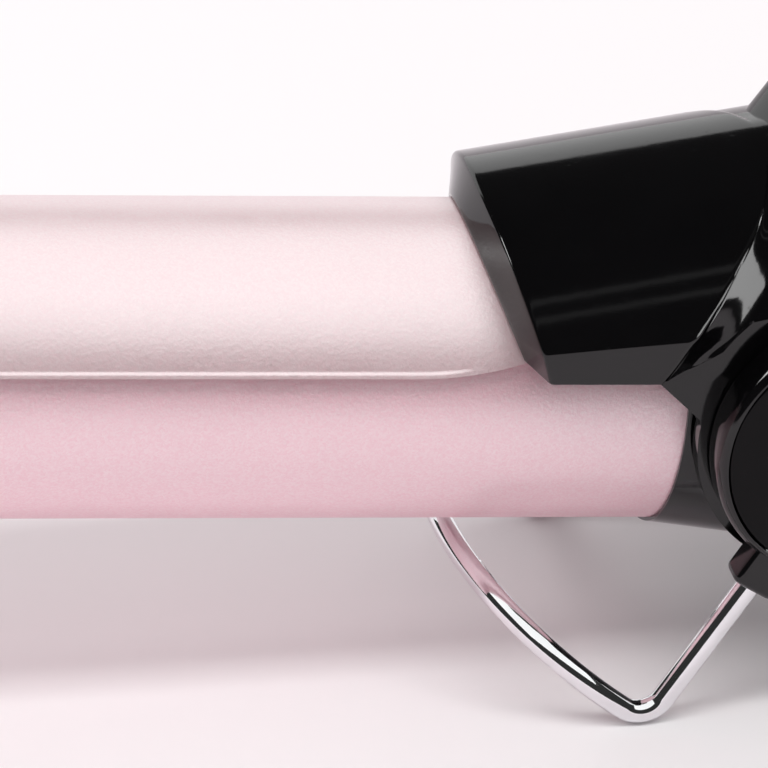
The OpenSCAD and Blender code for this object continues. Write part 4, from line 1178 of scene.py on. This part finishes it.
# name: where it stands, what it points at, its size and how bright its face looks
lamps = {"top": ((0, -0.46, 1.3), aim, (2.4, 0.3), 5.0),
         "sheen": ((0, -0.05, 1.35), (0, -0.05, 0), (3.0, 3.3), 1.03),
         "sideLeft": ((-1.3, 0.5, 0.9), aim, (0.35, 0.35), 10.0),
         "sideRight": ((1.55, 0.12, 0.58), aim, (1.25, 0.75), 10.0),
         "patch": ((1.17, -0.95, 0.64), aim, (1.1, 0.76), 6.0),
         "backdrop": ((0, 2.6, 0.56), (0, 0, 0.25), (4.0, 1.1), 1.0)}
strips = {"rises": (67, 76), "distance": 1.5, "x": 0.2, "size": (1.6, 0.06), "bright": 0.28}


def layFloor():
    # a flat square that gives back a little less light than it shows
    mesh, reach = bpy.data.meshes.new("floor"), studio["floorReach"]
    signs = ((-1, -1), (1, -1), (1, 1), (-1, 1))
    mesh.from_pydata([(sx * reach, sy * reach, 0) for sx, sy in signs], [], [(0, 1, 2, 3)])
    floor = bpy.data.objects.new("floor", mesh)
    bpy.context.scene.collection.objects.link(floor)
    paint = Finish(bpy.data.materials.new("floorPaint"))
    seen = paint.node("ShaderNodeLightPath", out="Is Camera Ray")
    tone = paint.mixColours(seen, studio["floorBounce"], (studio["floorTone"],) * 3)
    mesh.materials.append(paint.surface(Base_Color=tone, Roughness=0.9, Specular_IOR_Level=0.1))


def lightWorld():
    # soft light on the piece, a dark room in its gloss, and white behind it
    world = bpy.data.worlds.new("studio")
    bpy.context.scene.world = world
    air = Finish(world, "ShaderNodeOutputWorld")
    sky = air.node("ShaderNodeBackground", None,
                   {"Color": studio["tint"], "Strength": studio["ambient"]})
    for ray, strength in (("Is Glossy Ray", studio["ambientGloss"]), ("Is Camera Ray", 1.0)):
        other = air.node("ShaderNodeBackground", None, {"Color": (1, 1, 1), "Strength": strength})
        sky = air.node("ShaderNodeMixShader", None,
                       {0: air.node("ShaderNodeLightPath", out=ray), 1: sky, 2: other})
    air.show(sky)


def lamp(name, stands, aims, size, bright, glossy=True, diffuse=True, only=None):
    # a softbox given by how bright its face looks, which sets its power
    light = bpy.data.lights.new(name, "AREA")
    light.shape, light.size, light.size_y = "RECTANGLE", size[0], size[1]
    light.energy = bright * size[0] * size[1] * math.pi
    holder = bpy.data.objects.new(name, light)
    bpy.context.scene.collection.objects.link(holder)
    holder.location = stands
    holder.rotation_euler = (Vector(aims) - Vector(stands)).to_track_quat("-Z", "Y").to_euler()
    holder.visible_glossy, holder.visible_diffuse = glossy, diffuse
    if only is not None:
        group = bpy.data.collections.new(name + "Lit")
        for thing in only:
            group.objects.link(thing)
        holder.light_linking.receiver_collection = group


layFloor()
lightWorld()
blackGloss = {"gloss_black", "gloss_black_cap", "bezel_black", "window_dark"}
glossy, satin = [], []
for thing in bpy.context.scene.objects:
    if thing.type == "MESH":
        names = {slot.material.name.split(".")[0] for slot in thing.material_slots}
        (glossy if names & blackGloss else satin).append(thing)
lamp("top", *lamps["top"], glossy=False)
lamp("sheen", *lamps["sheen"], diffuse=False, only=satin)
lamp("sideLeft", *lamps["sideLeft"])
lamp("sideRight", *lamps["sideRight"], diffuse=False, only=glossy)
lamp("patch", *lamps["patch"], diffuse=False, only=glossy)
for k, rise in enumerate(strips["rises"]):
    tilt, far = math.radians(rise), strips["distance"]
    lamp("strip%d" % k, (strips["x"], -far * math.cos(tilt), far * math.sin(tilt)), aim,
         strips["size"], strips["bright"], diffuse=False, only=glossy)
lamp("backdrop", *lamps["backdrop"])

view = {"target": (-0.0279, 0.00515, 0.02715), "distance": 1.3, "lens": 584.4,
        "right": (0.97331, -0.2264, 0.03706), "up": (0.07961, 0.4848, 0.87097),
        "back": (-0.2151, -0.8448, 0.48992)}
camera = bpy.data.objects.new("camera", bpy.data.cameras.new("camera"))
bpy.context.scene.collection.objects.link(camera)
turned = Matrix((view["right"], view["up"], view["back"])).transposed()
camera.matrix_world = Matrix.Translation(
    Vector(view["target"]) + view["distance"] * Vector(view["back"])) @ turned.to_4x4()
camera.data.lens, camera.data.sensor_width = view["lens"], 36
camera.data.clip_start, camera.data.clip_end = 0.05, 60
bpy.context.scene.camera = camera
bpy.context.scene.view_settings.view_transform = "Standard"
print("studio set")
